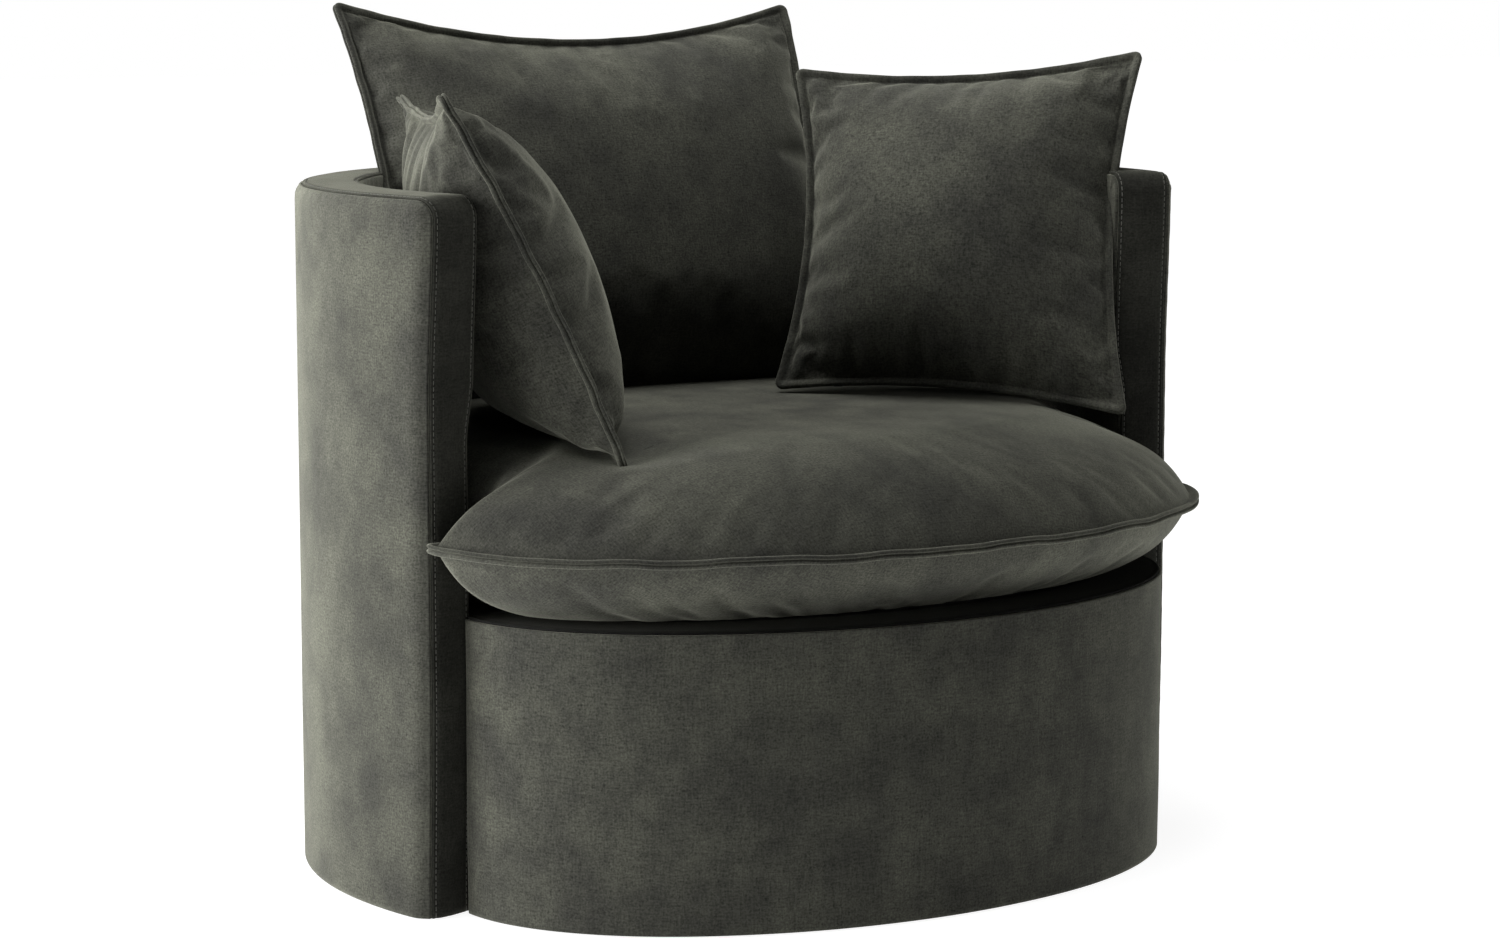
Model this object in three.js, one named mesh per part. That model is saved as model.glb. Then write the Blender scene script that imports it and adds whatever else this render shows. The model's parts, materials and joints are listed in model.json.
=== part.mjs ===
// A round upholstered cuddle chair with four loose cushions.
// Millimetres, +Z up, the chair faces -Y, and its lowest point stands on z = 0.

import * as THREE from 'three';

// Clearances
const touchGap = 0.3;
const cushionClearance = 3;
const startDistance = 110;

// Round shell
const shellWidth = 1000;
const shellHeight = 749;
const shellHalfAngle = THREE.MathUtils.degToRad(107);
const rimCornerRadius = 24;
const coverThickness = 2;
const waddingThickness = 8;
const boardThickness = 4;
const postDepth = 22;
const postWidth = 50;
const postCount = 5;
const topRailHeight = 22;
const wallFoamThickness = 20;
const edgeFoamThickness = 18;
const hemHeight = 2;
const shellFlatAngle = THREE.MathUtils.degToRad(6);
const cornerSteps = 3;

// Seat base
const deckHeight = 315;
const frontReach = 407;
const frontLap = 11.4;
const frontFoamThickness = 12;
const deckPadThickness = 12;
const seatRingHeight = 22;
const seatRingWidth = 60;
const basePlateThickness = 18;
const uprightWidth = 45;
const frontUprightAngle = THREE.MathUtils.degToRad(45);
const backUprightAngle = THREE.MathUtils.degToRad(36);
const frontSteps = 24;

// Glides and dust cover
const glideRadius = 12;
const glideHeight = 6;
const glideInset = 45;
const glideSides = 24;
const backGlideAngles = [0, THREE.MathUtils.degToRad(78), THREE.MathUtils.degToRad(-78)];
const frontGlideAngles = [THREE.MathUtils.degToRad(-42), THREE.MathUtils.degToRad(42)];
const dustCoverThickness = 1;
const dustCoverMargin = 10;

// Springs and their clips
const springWire = 4;
const springCount = 4;
const springSpacing = 130;
const springSwing = 22;
const springPitch = 75;
const springStepsPerWave = 6;
const springSides = 5;
const springBearing = 30;
const clipThickness = 1.5;
const clipLength = 14;
const clipFoot = 6;

// Seat cushion
const seatSeamRise = 73;
const seatCrown = 94;
const seatDome = 6;
const seatTopRound = 155;
const seatBottomRound = 70;
const seatEarOverhang = 11;
const seatBowOverhang = 8;
const seatFrontOverhang = 15;
const seatBowSetback = 100;
const seatMiddle = new THREE.Vector2(0, -200);
const seatArcSteps = 18;
const seatFrontSteps = 16;
const roundShares = [0, 0.14, 0.34, 0.62, 1];

// Loose cushions with two panels sewn together at a flange
const flangeWidth = 10;
const crownPower = 0.5;
const columnShares = [0, 0.31, 0.59, 0.81, 0.94, 1];
const backCushionSizes = {
  width: 616,
  height: 500,
  crown: 80,
  drawTop: 43,
  drawBottom: 20,
  drawSide: 22,
  sideBend: 26,
  footLifts: { left: 0, right: 0 },
  topDrops: { left: 0, right: 0 },
};
const pillowSizes = {
  width: 412,
  height: 434,
  crown: 74,
  drawTop: 20,
  drawBottom: 18,
  drawSide: 16,
  sideBend: 0,
};
const leftPillowSizes = {
  ...pillowSizes,
  footLifts: { left: 0, right: 30 },
  topDrops: { left: 0, right: 0 },
};
const rightPillowSizes = {
  ...pillowSizes,
  footLifts: { left: 25, right: 0 },
  topDrops: { left: 10, right: 0 },
};
const backCushionPose = {
  placeShare: new THREE.Vector2(0, 0.71),
  yaw: 0,
  lean: THREE.MathUtils.degToRad(20),
  roll: 0,
};
const leftPillowPose = {
  placeShare: new THREE.Vector2(-0.69, 0.025),
  yaw: THREE.MathUtils.degToRad(69.5),
  lean: THREE.MathUtils.degToRad(25.5),
  roll: THREE.MathUtils.degToRad(3),
};
const rightPillowPose = {
  placeShare: new THREE.Vector2(0.7, 0.069),
  yaw: THREE.MathUtils.degToRad(-44),
  lean: THREE.MathUtils.degToRad(17.6),
  roll: THREE.MathUtils.degToRad(-1),
};

// Zips
const zipWidth = 7;
const zipThickness = 1.5;
const zipMargin = 1.5;
const zipReachShare = 0.6;
const zipSteps = 12;

// Finishes
const finishes = {
  velvet: { color: '#3f4139', roughness: 0.9, metalness: 0 },
  foam: { color: '#e9dfb8', roughness: 0.95, metalness: 0 },
  wadding: { color: '#f1f1ee', roughness: 1, metalness: 0 },
  plywood: { color: '#c9a877', roughness: 0.7, metalness: 0 },
  hardboard: { color: '#8a6542', roughness: 0.8, metalness: 0 },
  steel: { color: '#8f9296', roughness: 0.35, metalness: 1 },
  lining: { color: '#1d1d1c', roughness: 0.95, metalness: 0 },
  plastic: { color: '#18181a', roughness: 0.5, metalness: 0 },
};

// Wall layers, from the outside of the shell inwards
function stackInward(outside, thicknesses) {
  const layers = [];
  let outer = outside;
  for (const thickness of thicknesses) {
    layers.push({ outer, inner: outer - thickness });
    outer -= thickness + touchGap;
  }
  return layers;
}

const wallThicknesses = [
  coverThickness,
  waddingThickness,
  boardThickness,
  postDepth,
  boardThickness,
  wallFoamThickness,
  coverThickness,
];
const [outerCover, wadding, outerBoard, frame, innerBoard, wallFoam, innerCover] = stackInward(
  shellWidth / 2,
  wallThicknesses,
);
const wallMiddleRadius = (outerCover.outer + innerCover.inner) / 2;
const rimFoamDepth = coverThickness + touchGap;
const rimFrameDepth = rimFoamDepth + edgeFoamThickness + touchGap;

// Heights in the seat base
const plateBottom = glideHeight + touchGap;
const plateTop = plateBottom + basePlateThickness;
const padTop = deckHeight - coverThickness - touchGap;
const padBottom = padTop - deckPadThickness;
const springRise = touchGap + springWire + touchGap + clipThickness + touchGap;
const ringTop = padBottom - springRise;
const ringBottom = ringTop - seatRingHeight;
const frameTop = shellHeight - rimFrameDepth;

// Insets of the layers of the bowed front, from its face inwards
const frontFoamInset = coverThickness + touchGap;
const frontBoardInset = frontFoamInset + frontFoamThickness + touchGap;
const frontFrameInset = frontBoardInset + boardThickness + touchGap;
const deckRadius = innerCover.inner - touchGap;
const frontHalfWidth = (innerCover.inner + frontLap) * Math.sin(shellHalfAngle);

// Closed solids from points

// Joins vertices and triangles into one closed geometry whose faces point out.
function closedGeometry(points, triangles) {
  let volume = 0;
  for (const [a, b, c] of triangles) {
    volume += points[a].dot(new THREE.Vector3().crossVectors(points[b], points[c]));
  }
  const facing = volume > 0 ? triangles : triangles.map(([a, b, c]) => [a, c, b]);
  const geometry = new THREE.BufferGeometry();
  geometry.setAttribute('position', new THREE.Float32BufferAttribute(points.flatMap((p) => p.toArray()), 3));
  geometry.setIndex(facing.flat());
  geometry.computeVertexNormals();
  return geometry;
}

// Skins a row of like convex sections and closes both ends.
function loft(sections) {
  const sides = sections[0].length;
  const triangles = [];
  for (let row = 0; row < sections.length - 1; row += 1) {
    for (let side = 0; side < sides; side += 1) {
      const next = (side + 1) % sides;
      const low = row * sides;
      const high = low + sides;
      triangles.push([low + side, low + next, high + next], [low + side, high + next, high + side]);
    }
  }
  const last = (sections.length - 1) * sides;
  for (let side = 1; side < sides - 1; side += 1) {
    triangles.push([0, side + 1, side], [last, last + side, last + side + 1]);
  }
  return closedGeometry(sections.flat(), triangles);
}

// Joins two like grids of points, given row by row, and closes the rim between them.
function doubleSheet(front, back) {
  const rows = front.length;
  const columns = front[0].length;
  const offset = rows * columns;
  const triangles = [];
  for (let row = 0; row < rows - 1; row += 1) {
    for (let column = 0; column < columns - 1; column += 1) {
      const a = row * columns + column;
      const [b, c, d] = [a + 1, a + columns + 1, a + columns];
      triangles.push([a, b, c], [a, c, d]);
      triangles.push([offset + a, offset + c, offset + b], [offset + a, offset + d, offset + c]);
    }
  }
  const rim = [];
  for (let column = 0; column < columns - 1; column += 1) rim.push(column);
  for (let row = 0; row < rows - 1; row += 1) rim.push(row * columns + columns - 1);
  for (let column = columns - 1; column > 0; column -= 1) rim.push((rows - 1) * columns + column);
  for (let row = rows - 1; row > 0; row -= 1) rim.push(row * columns);
  rim.forEach((start, index) => {
    const end = rim[(index + 1) % rim.length];
    triangles.push([start, offset + start, offset + end], [start, offset + end, end]);
  });
  return closedGeometry([...front.flat(), ...back.flat()], triangles);
}

// Joins two stacks of rings round a middle point: the first ring of each is the rim they share.
function ringedSheet(upper, lower) {
  const sides = upper.rings[0].length;
  const points = [];
  const triangles = [];
  const addStack = ({ rings, middle }) => {
    const start = points.length;
    points.push(...rings.flat(), middle);
    const tip = start + rings.length * sides;
    for (let side = 0; side < sides; side += 1) {
      const next = (side + 1) % sides;
      for (let ring = 0; ring < rings.length - 1; ring += 1) {
        const low = start + ring * sides;
        const high = low + sides;
        triangles.push([low + side, low + next, high + next], [low + side, high + next, high + side]);
      }
      const last = tip - sides;
      triangles.push([last + side, last + next, tip]);
    }
    return start;
  };
  const upperStart = addStack(upper);
  const turned = triangles.length;
  const lowerStart = addStack(lower);
  for (let index = turned; index < triangles.length; index += 1) triangles[index].reverse();
  for (let side = 0; side < sides; side += 1) {
    const next = (side + 1) % sides;
    triangles.push([lowerStart + side, lowerStart + next, upperStart + next]);
    triangles.push([lowerStart + side, upperStart + next, upperStart + side]);
  }
  return closedGeometry(points, triangles);
}

function makeMesh(name, geometry, finish) {
  const mesh = new THREE.Mesh(geometry, new THREE.MeshStandardMaterial(finishes[finish]));
  mesh.name = name;
  return mesh;
}

// Shell

// A place on the shell: angle is measured from the back, positive towards +X.
// All curved layers share the same flats, so that they lie evenly on each other.
function shellPoint(radius, angle, height) {
  const halfFlat = shellFlatAngle / 2;
  const offFlat = THREE.MathUtils.euclideanModulo(angle, shellFlatAngle) - halfFlat;
  const reach = (radius * Math.cos(halfFlat)) / Math.cos(offFlat);
  return new THREE.Vector3(reach * Math.sin(angle), reach * Math.cos(angle), height);
}

// Two angles and each corner between the shell's flats that lies between them, the highest first.
function shellAngles(high, low) {
  const angles = [high];
  for (let index = Math.ceil(high / shellFlatAngle) - 1; index * shellFlatAngle > low; index -= 1) {
    angles.push(index * shellFlatAngle);
  }
  return [...angles, low];
}

// Stations along the rim, at a depth below its surface, from one arm's front over the top to the other's.
function rimStations(depth) {
  const corner = Math.max(rimCornerRadius - depth, touchGap);
  const cornerAngle = shellHalfAngle - (depth + corner) / wallMiddleRadius;
  const cornerHeight = shellHeight - depth - corner;
  const rising = [];
  for (let step = 0; step <= cornerSteps; step += 1) {
    const turn = (Math.PI / 2) * (step / cornerSteps);
    rising.push({
      angle: cornerAngle + (corner * Math.cos(turn)) / wallMiddleRadius,
      height: cornerHeight + corner * Math.sin(turn),
      turn,
    });
  }
  const mirrored = ({ angle, height, turn }) => ({ angle: -angle, height, turn: Math.PI - turn });
  const falling = rising.map(mirrored).reverse();
  const along = shellAngles(cornerAngle, -cornerAngle).slice(1, -1).map((angle) => {
    return { angle, height: shellHeight - depth, turn: Math.PI / 2 };
  });
  return [...rising, ...along, ...falling];
}

// A curved wall that reaches up to the rim, at a depth below its surface.
function shellWall(layer, bottom, depth) {
  return loft(rimStations(depth).map(({ angle, height }) => [
    shellPoint(layer.outer, angle, bottom),
    shellPoint(layer.outer, angle, height),
    shellPoint(layer.inner, angle, height),
    shellPoint(layer.inner, angle, bottom),
  ]));
}

// A band that runs up one arm's front, along the rim and down the other arm's front.
function rimBand(outerRadius, innerRadius, depth, thickness, bottom) {
  const stations = rimStations(depth);
  const foot = { ...stations[0], height: bottom };
  const otherFoot = { ...stations[stations.length - 1], height: bottom };
  return loft([foot, ...stations, otherFoot].map(({ angle, height, turn }) => {
    const underAngle = angle - (thickness * Math.cos(turn)) / wallMiddleRadius;
    const underHeight = height === bottom ? bottom : height - thickness * Math.sin(turn);
    return [
      shellPoint(outerRadius, angle, height),
      shellPoint(innerRadius, angle, height),
      shellPoint(innerRadius, underAngle, underHeight),
      shellPoint(outerRadius, underAngle, underHeight),
    ];
  }));
}

// A plain curved block of the shell's frame between two angles.
function frameBlock(bottom, top, highAngle, lowAngle) {
  return loft(shellAngles(highAngle, lowAngle).map((angle) => [
    shellPoint(frame.outer, angle, bottom),
    shellPoint(frame.outer, angle, top),
    shellPoint(frame.inner, angle, top),
    shellPoint(frame.inner, angle, bottom),
  ]));
}

const frameHalfAngle = shellHalfAngle - rimFrameDepth / wallMiddleRadius;

function makeShell() {
  const railBottom = frameTop - topRailHeight;
  const postAngle = postWidth / wallMiddleRadius;
  const meshes = [
    makeMesh('shell_outer_cover', shellWall(outerCover, hemHeight, 0), 'velvet'),
    makeMesh('shell_inner_cover', shellWall(innerCover, plateTop + touchGap, 0), 'velvet'),
    makeMesh('shell_outer_wadding', shellWall(wadding, hemHeight, rimFoamDepth), 'wadding'),
    makeMesh('shell_inner_foam', shellWall(wallFoam, plateTop + touchGap, rimFoamDepth), 'foam'),
    makeMesh('shell_outer_board', shellWall(outerBoard, plateBottom, rimFrameDepth), 'hardboard'),
    makeMesh('shell_inner_board', shellWall(innerBoard, plateTop + touchGap, rimFrameDepth), 'hardboard'),
    makeMesh(
      'rim_cover_strip',
      rimBand(outerCover.inner - touchGap, innerCover.outer + touchGap, 0, coverThickness, hemHeight),
      'velvet',
    ),
    makeMesh(
      'rim_foam',
      rimBand(outerBoard.outer, innerBoard.inner, rimFoamDepth, edgeFoamThickness, hemHeight),
      'foam',
    ),
    makeMesh('top_rail', shellWall(frame, railBottom, rimFrameDepth), 'plywood'),
  ];
  for (let index = 0; index < postCount; index += 1) {
    const reach = frameHalfAngle - postAngle / 2;
    const angle = reach * ((2 * index) / (postCount - 1) - 1);
    const [high, low] = [angle + postAngle / 2, angle - postAngle / 2];
    const block = frameBlock(plateTop + touchGap, railBottom - touchGap, high, low);
    meshes.push(makeMesh(`shell_post_${index + 1}`, block, 'plywood'));
  }
  return meshes;
}

// Seat base

// The line along the front of the arm on the +X side, at a clearance in front of it.
function alongArm(reach, clearance) {
  const outwards = new THREE.Vector2(Math.sin(shellHalfAngle), Math.cos(shellHalfAngle));
  const forwards = new THREE.Vector2(outwards.y, -outwards.x);
  return outwards.multiplyScalar(reach).addScaledVector(forwards, clearance);
}

// The bowed front before the arms, at an inset from its face, as angles from -90 to 90 degrees.
function frontPoint(inset, turn) {
  const halfWidth = frontHalfWidth - inset;
  const armY = halfWidth / Math.tan(shellHalfAngle) + touchGap / Math.cos(shellHalfAngle + Math.PI / 2);
  const depth = frontReach - inset + armY;
  return new THREE.Vector2(halfWidth * Math.sin(turn), armY - depth * Math.cos(turn));
}

function frontCurve(inset) {
  const points = [];
  for (let step = 0; step <= frontSteps; step += 1) {
    points.push(frontPoint(inset, Math.PI * (step / frontSteps - 1 / 2)));
  }
  return points;
}

// The plan of an arc round the back at a radius, from the +X side to the -X side.
function arcCurve(radius, halfAngle) {
  return shellAngles(halfAngle, -halfAngle).map((angle) => {
    const place = shellPoint(radius, angle, 0);
    return new THREE.Vector2(place.x, place.y);
  });
}

// The seat's plan: an arc inside the shell, closed by the bowed front.
function deckOutline(inset) {
  const notch = alongArm(deckRadius - inset, touchGap);
  const arc = arcCurve(deckRadius - inset, shellHalfAngle).slice(1, -1);
  return [notch, ...arc, new THREE.Vector2(-notch.x, notch.y), ...frontCurve(inset)];
}

// The base plate's plan: the arc reaches out under the shell's posts.
function plateOutline(inset) {
  const neck = shellPoint(deckRadius - frontFrameInset - inset, frameHalfAngle, 0);
  const arc = arcCurve(frame.outer - inset, frameHalfAngle);
  const front = frontCurve(frontFrameInset + inset);
  return [new THREE.Vector2(neck.x, neck.y), ...arc, new THREE.Vector2(-neck.x, neck.y), ...front];
}

function plate(outline, bottom, top, hole = []) {
  const shape = new THREE.Shape(outline);
  if (hole.length > 0) shape.holes.push(new THREE.Path(hole));
  const geometry = new THREE.ExtrudeGeometry(shape, { depth: top - bottom, bevelEnabled: false });
  geometry.translate(0, 0, bottom);
  return geometry;
}

// A layer of the bowed front between two insets.
function frontBand(outerInset, innerInset, bottom, top) {
  const outer = frontCurve(outerInset);
  const inner = frontCurve(innerInset);
  return loft(outer.map((point, index) => [
    new THREE.Vector3(point.x, point.y, bottom),
    new THREE.Vector3(point.x, point.y, top),
    new THREE.Vector3(inner[index].x, inner[index].y, top),
    new THREE.Vector3(inner[index].x, inner[index].y, bottom),
  ]));
}

function makeUprights() {
  const inset = frontFrameInset + seatRingWidth / 2;
  const places = [
    frontPoint(inset, -frontUprightAngle),
    frontPoint(inset, frontUprightAngle),
    shellPoint(deckRadius - inset, backUprightAngle, 0),
    shellPoint(deckRadius - inset, -backUprightAngle, 0),
  ];
  return places.map((place, index) => {
    const bottom = plateTop + touchGap;
    const height = ringBottom - touchGap - bottom;
    const geometry = new THREE.BoxGeometry(uprightWidth, uprightWidth, height);
    const mesh = makeMesh(`seat_upright_${index + 1}`, geometry, 'plywood');
    mesh.position.set(place.x, place.y, bottom + height / 2);
    return mesh;
  });
}

function makeGlides() {
  const places = [
    ...frontGlideAngles.map((turn) => frontPoint(frontFrameInset + glideInset, turn)),
    ...backGlideAngles.map((angle) => shellPoint(frame.outer - glideInset, angle, 0)),
  ];
  return places.map((place, index) => {
    const geometry = new THREE.CylinderGeometry(glideRadius, glideRadius, glideHeight, glideSides);
    geometry.rotateX(Math.PI / 2);
    const mesh = makeMesh(`glide_${index + 1}`, geometry, 'plastic');
    mesh.position.set(place.x, place.y, glideHeight / 2);
    return mesh;
  });
}

// Where a line at x, parallel to Y, meets the inner edge of the seat ring at the front and at the back.
function ringSpan(x) {
  const inset = frontFrameInset + seatRingWidth;
  const turn = Math.asin(x / (frontHalfWidth - inset));
  return { front: frontPoint(inset, turn).y, back: Math.sqrt((deckRadius - inset) ** 2 - x ** 2) };
}

function springGeometry(x, start, end) {
  const height = ringTop + touchGap + springWire / 2;
  const lead = springBearing;
  const waves = Math.round((end - start - 2 * lead) / springPitch);
  const steps = waves * springStepsPerWave;
  const path = [new THREE.Vector3(x, start, height)];
  for (let step = 0; step <= steps; step += 1) {
    const share = step / steps;
    const swing = springSwing * Math.sin(2 * Math.PI * waves * share);
    path.push(new THREE.Vector3(x + swing, start + lead + (end - start - 2 * lead) * share, height));
  }
  path.push(new THREE.Vector3(x, end, height));
  return loft(path.map((place, index) => {
    const before = path[Math.max(index - 1, 0)];
    const after = path[Math.min(index + 1, path.length - 1)];
    const along = after.clone().sub(before).normalize();
    const across = new THREE.Vector3(along.y, -along.x, 0);
    const ring = [];
    for (let side = 0; side < springSides; side += 1) {
      const turn = (2 * Math.PI * side) / springSides;
      const sideways = across.clone().multiplyScalar((springWire / 2) * Math.cos(turn));
      ring.push(place.clone().add(sideways).setZ(height + (springWire / 2) * Math.sin(turn)));
    }
    return ring;
  }));
}

// A steel clip bridges the wire's end: two feet and a raised saddle.
function clipGeometry() {
  const slotHalf = springWire / 2 + touchGap;
  const slotTop = springWire + touchGap;
  const wallHalf = slotHalf + clipThickness;
  const footHalf = wallHalf + clipFoot;
  const half = [
    [slotHalf, 0],
    [footHalf, 0],
    [footHalf, clipThickness],
    [wallHalf, clipThickness],
    [wallHalf, slotTop + clipThickness],
  ];
  const mirrored = half.map(([across, up]) => [-across, up]).reverse();
  const outline = [...half, ...mirrored, [-slotHalf, slotTop], [slotHalf, slotTop]];
  const shape = new THREE.Shape(outline.map(([across, up]) => new THREE.Vector2(across, up)));
  const geometry = new THREE.ExtrudeGeometry(shape, { depth: clipLength, bevelEnabled: false });
  geometry.rotateX(Math.PI / 2);
  geometry.translate(0, clipLength / 2, 0);
  return geometry;
}

function makeSprings() {
  const meshes = [];
  for (let index = 0; index < springCount; index += 1) {
    const x = springSpacing * (index - (springCount - 1) / 2);
    const span = ringSpan(x);
    const start = span.front - springBearing;
    const end = span.back + springBearing;
    meshes.push(makeMesh(`seat_spring_${index + 1}`, springGeometry(x, start, end), 'steel'));
    [start + clipLength / 2, end - clipLength / 2].forEach((y, side) => {
      const name = `spring_clip_${side === 0 ? 'front' : 'back'}_${index + 1}`;
      const clip = makeMesh(name, clipGeometry(), 'steel');
      clip.position.set(x, y, ringTop + touchGap);
      meshes.push(clip);
    });
  }
  return meshes;
}

function makeSeatBase() {
  const ringOuter = deckOutline(frontFrameInset);
  const ringInner = deckOutline(frontFrameInset + seatRingWidth);
  const dustInset = glideInset + glideRadius + dustCoverMargin;
  const dustTop = plateBottom - touchGap;
  return [
    makeMesh('base_plate', plate(plateOutline(0), plateBottom, plateTop), 'plywood'),
    makeMesh('dust_cover', plate(plateOutline(dustInset), dustTop - dustCoverThickness, dustTop), 'lining'),
    makeMesh('seat_ring', plate(ringOuter, ringBottom, ringTop, ringInner), 'plywood'),
    makeMesh('deck_pad', plate(deckOutline(frontFoamInset), padBottom, padTop), 'wadding'),
    makeMesh('deck_cover', plate(deckOutline(frontFoamInset), padTop + touchGap, deckHeight), 'lining'),
    makeMesh('front_cover', frontBand(0, coverThickness, hemHeight, deckHeight), 'velvet'),
    makeMesh(
      'front_foam',
      frontBand(frontFoamInset, frontFoamInset + frontFoamThickness, hemHeight, padBottom - touchGap),
      'foam',
    ),
    makeMesh(
      'front_board',
      frontBand(frontBoardInset, frontBoardInset + boardThickness, plateBottom, padBottom - touchGap),
      'hardboard',
    ),
    ...makeUprights(),
    ...makeGlides(),
    ...makeSprings(),
  ];
}

// Seat cushion

const seatRadius = innerCover.inner - cushionClearance;
const seatNotch = alongArm(seatRadius, cushionClearance);
const seatEarRoot = alongArm(shellWidth / 2 + seatEarOverhang, cushionClearance);
const seatBowHalfWidth = seatEarRoot.x + seatBowOverhang;
const seatBowDepth = frontReach + seatFrontOverhang - seatBowSetback;
const seatTop = deckHeight + touchGap + seatSeamRise + seatCrown + seatDome;

// Its round back inside the shell, from the +X side to the -X side.
function seatBackArc() {
  const arc = [];
  for (let step = 1; step < seatArcSteps; step += 1) {
    const place = shellPoint(seatRadius, shellHalfAngle * (1 - (2 * step) / seatArcSteps), 0);
    arc.push(new THREE.Vector2(place.x, place.y));
  }
  return arc;
}

// Its plan: the round back, ears that pass in front of the arms, and a bowed front.
function seatOutline() {
  const points = [seatEarRoot, seatNotch, ...seatBackArc()];
  points.push(new THREE.Vector2(-seatNotch.x, seatNotch.y), new THREE.Vector2(-seatEarRoot.x, seatEarRoot.y));
  const turnLimit = Math.asin(seatEarRoot.x / seatBowHalfWidth);
  for (let step = 0; step <= seatFrontSteps; step += 1) {
    const turn = turnLimit * ((2 * step) / seatFrontSteps - 1);
    const x = seatBowHalfWidth * Math.sin(turn);
    points.push(new THREE.Vector2(x, -seatBowSetback - seatBowDepth * Math.cos(turn)));
  }
  return points;
}

// Rings of points, each a distance in from the outline towards the middle, and the middle itself.
function seatStack(distances, heights, middleHeight) {
  const rings = distances.map((distance, ring) => seatOutline().map((point) => {
    const inward = seatMiddle.clone().sub(point).setLength(distance);
    return new THREE.Vector3(point.x + inward.x, point.y + inward.y, heights[ring]);
  }));
  return { rings, middle: new THREE.Vector3(seatMiddle.x, seatMiddle.y, middleHeight) };
}

function roundProfile(share) {
  return Math.sqrt(1 - (1 - share) ** 2);
}

// One panel of the seat cushion's cover: side is 1 for the top and -1 for the bottom.
function seatPanel(side, roundWidth, rise, dome) {
  const distances = [0, ...roundShares.map((share) => flangeWidth + roundWidth * share)];
  const profile = [0, ...roundShares.map(roundProfile)];
  const surface = (offset) => seatStack(
    distances,
    profile.map((share) => side * (offset + rise * share)),
    side * (offset + rise + dome),
  );
  const outer = surface(touchGap / 2 + coverThickness);
  const inner = surface(touchGap / 2);
  return side > 0 ? ringedSheet(outer, inner) : ringedSheet(inner, outer);
}

function seatFilling(topRise, bottomRise) {
  const shares = roundShares.slice(1);
  const stack = (side, roundWidth, rise, dome) => seatStack(
    shares.map((share) => flangeWidth + roundWidth * share),
    shares.map((share) => side * (rise * roundProfile(share) - touchGap)),
    side * (rise + dome - touchGap),
  );
  const upper = stack(1, seatTopRound, topRise, seatDome);
  const lower = stack(-1, seatBottomRound, bottomRise, 0);
  return ringedSheet(upper, lower);
}

// The zip lies along the middle of the round back, under the bottom panel's flange.
function seatZip() {
  const arc = seatBackArc();
  const spare = Math.round((arc.length * (1 - zipReachShare)) / 2);
  const top = -(touchGap / 2 + coverThickness + touchGap);
  return loft(arc.slice(spare, arc.length - spare).map((point) => {
    const inward = seatMiddle.clone().sub(point).normalize();
    const near = point.clone().addScaledVector(inward, zipMargin);
    const far = near.clone().addScaledVector(inward, zipWidth);
    return [
      new THREE.Vector3(near.x, near.y, top),
      new THREE.Vector3(near.x, near.y, top - zipThickness),
      new THREE.Vector3(far.x, far.y, top - zipThickness),
      new THREE.Vector3(far.x, far.y, top),
    ];
  }));
}

function makeSeatCushion() {
  const bottomRise = seatSeamRise - touchGap / 2 - coverThickness;
  const group = new THREE.Group();
  group.add(
    makeMesh('seat_top_panel', seatPanel(1, seatTopRound, seatCrown, seatDome), 'velvet'),
    makeMesh('seat_bottom_panel', seatPanel(-1, seatBottomRound, bottomRise, 0), 'velvet'),
    makeMesh('seat_filling', seatFilling(seatCrown, bottomRise), 'foam'),
    makeMesh('seat_zip', seatZip(), 'plastic'),
  );
  group.position.z = deckHeight + touchGap + seatSeamRise;
  return group;
}

// Back cushion and pillows

// A place on a cushion's middle sheet: u runs across it and v up it, both from -1 to 1.
function cushionPlace(sizes, u, v) {
  const { footLifts, topDrops } = sizes;
  const drawEnd = v > 0 ? sizes.drawTop : sizes.drawBottom;
  const acrossShare = (1 + u) / 2;
  const upShare = (1 + v) / 2;
  const lift = THREE.MathUtils.lerp(footLifts.left, footLifts.right, acrossShare) * (1 - upShare);
  const drop = THREE.MathUtils.lerp(topDrops.left, topDrops.right, acrossShare) * upShare;
  return new THREE.Vector3(
    u * (sizes.width / 2 - sizes.drawSide * (1 - v * v)),
    -sizes.sideBend * u * u * (1 - v * v),
    v * (sizes.height / 2 - drawEnd * (1 - u * u)) + lift - drop,
  );
}

function cushionRise(sizes, u, v) {
  const across = Math.min(1, Math.abs(u) / (1 - (2 * flangeWidth) / sizes.width));
  const up = Math.min(1, Math.abs(v) / (1 - (2 * flangeWidth) / sizes.height));
  return sizes.crown * ((1 - across * across) * (1 - up * up)) ** crownPower;
}

// Shares from -1 to 1 at which a cushion is cut into columns or rows, with or without its flange.
function cushionCuts(length, withFlange) {
  const inside = 1 - (2 * flangeWidth) / length;
  const half = columnShares.map((share) => share * inside);
  if (withFlange) half.push(1);
  else half.pop();
  return [...half.slice(1).map((share) => -share).reverse(), ...half];
}

// A grid of points at a distance in front of (-1) or behind (1) the middle sheet, past the crown's rise.
function cushionSheet(sizes, side, offset, withFlange) {
  const columns = cushionCuts(sizes.width, withFlange);
  return cushionCuts(sizes.height, withFlange).map((v) => columns.map((u) => {
    const place = cushionPlace(sizes, u, v);
    place.y += side * (offset + cushionRise(sizes, u, v));
    return place;
  }));
}

function cushionPanel(sizes, side) {
  const outer = cushionSheet(sizes, side, touchGap / 2 + coverThickness, true);
  const inner = cushionSheet(sizes, side, touchGap / 2, true);
  return doubleSheet(outer, inner);
}

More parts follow.
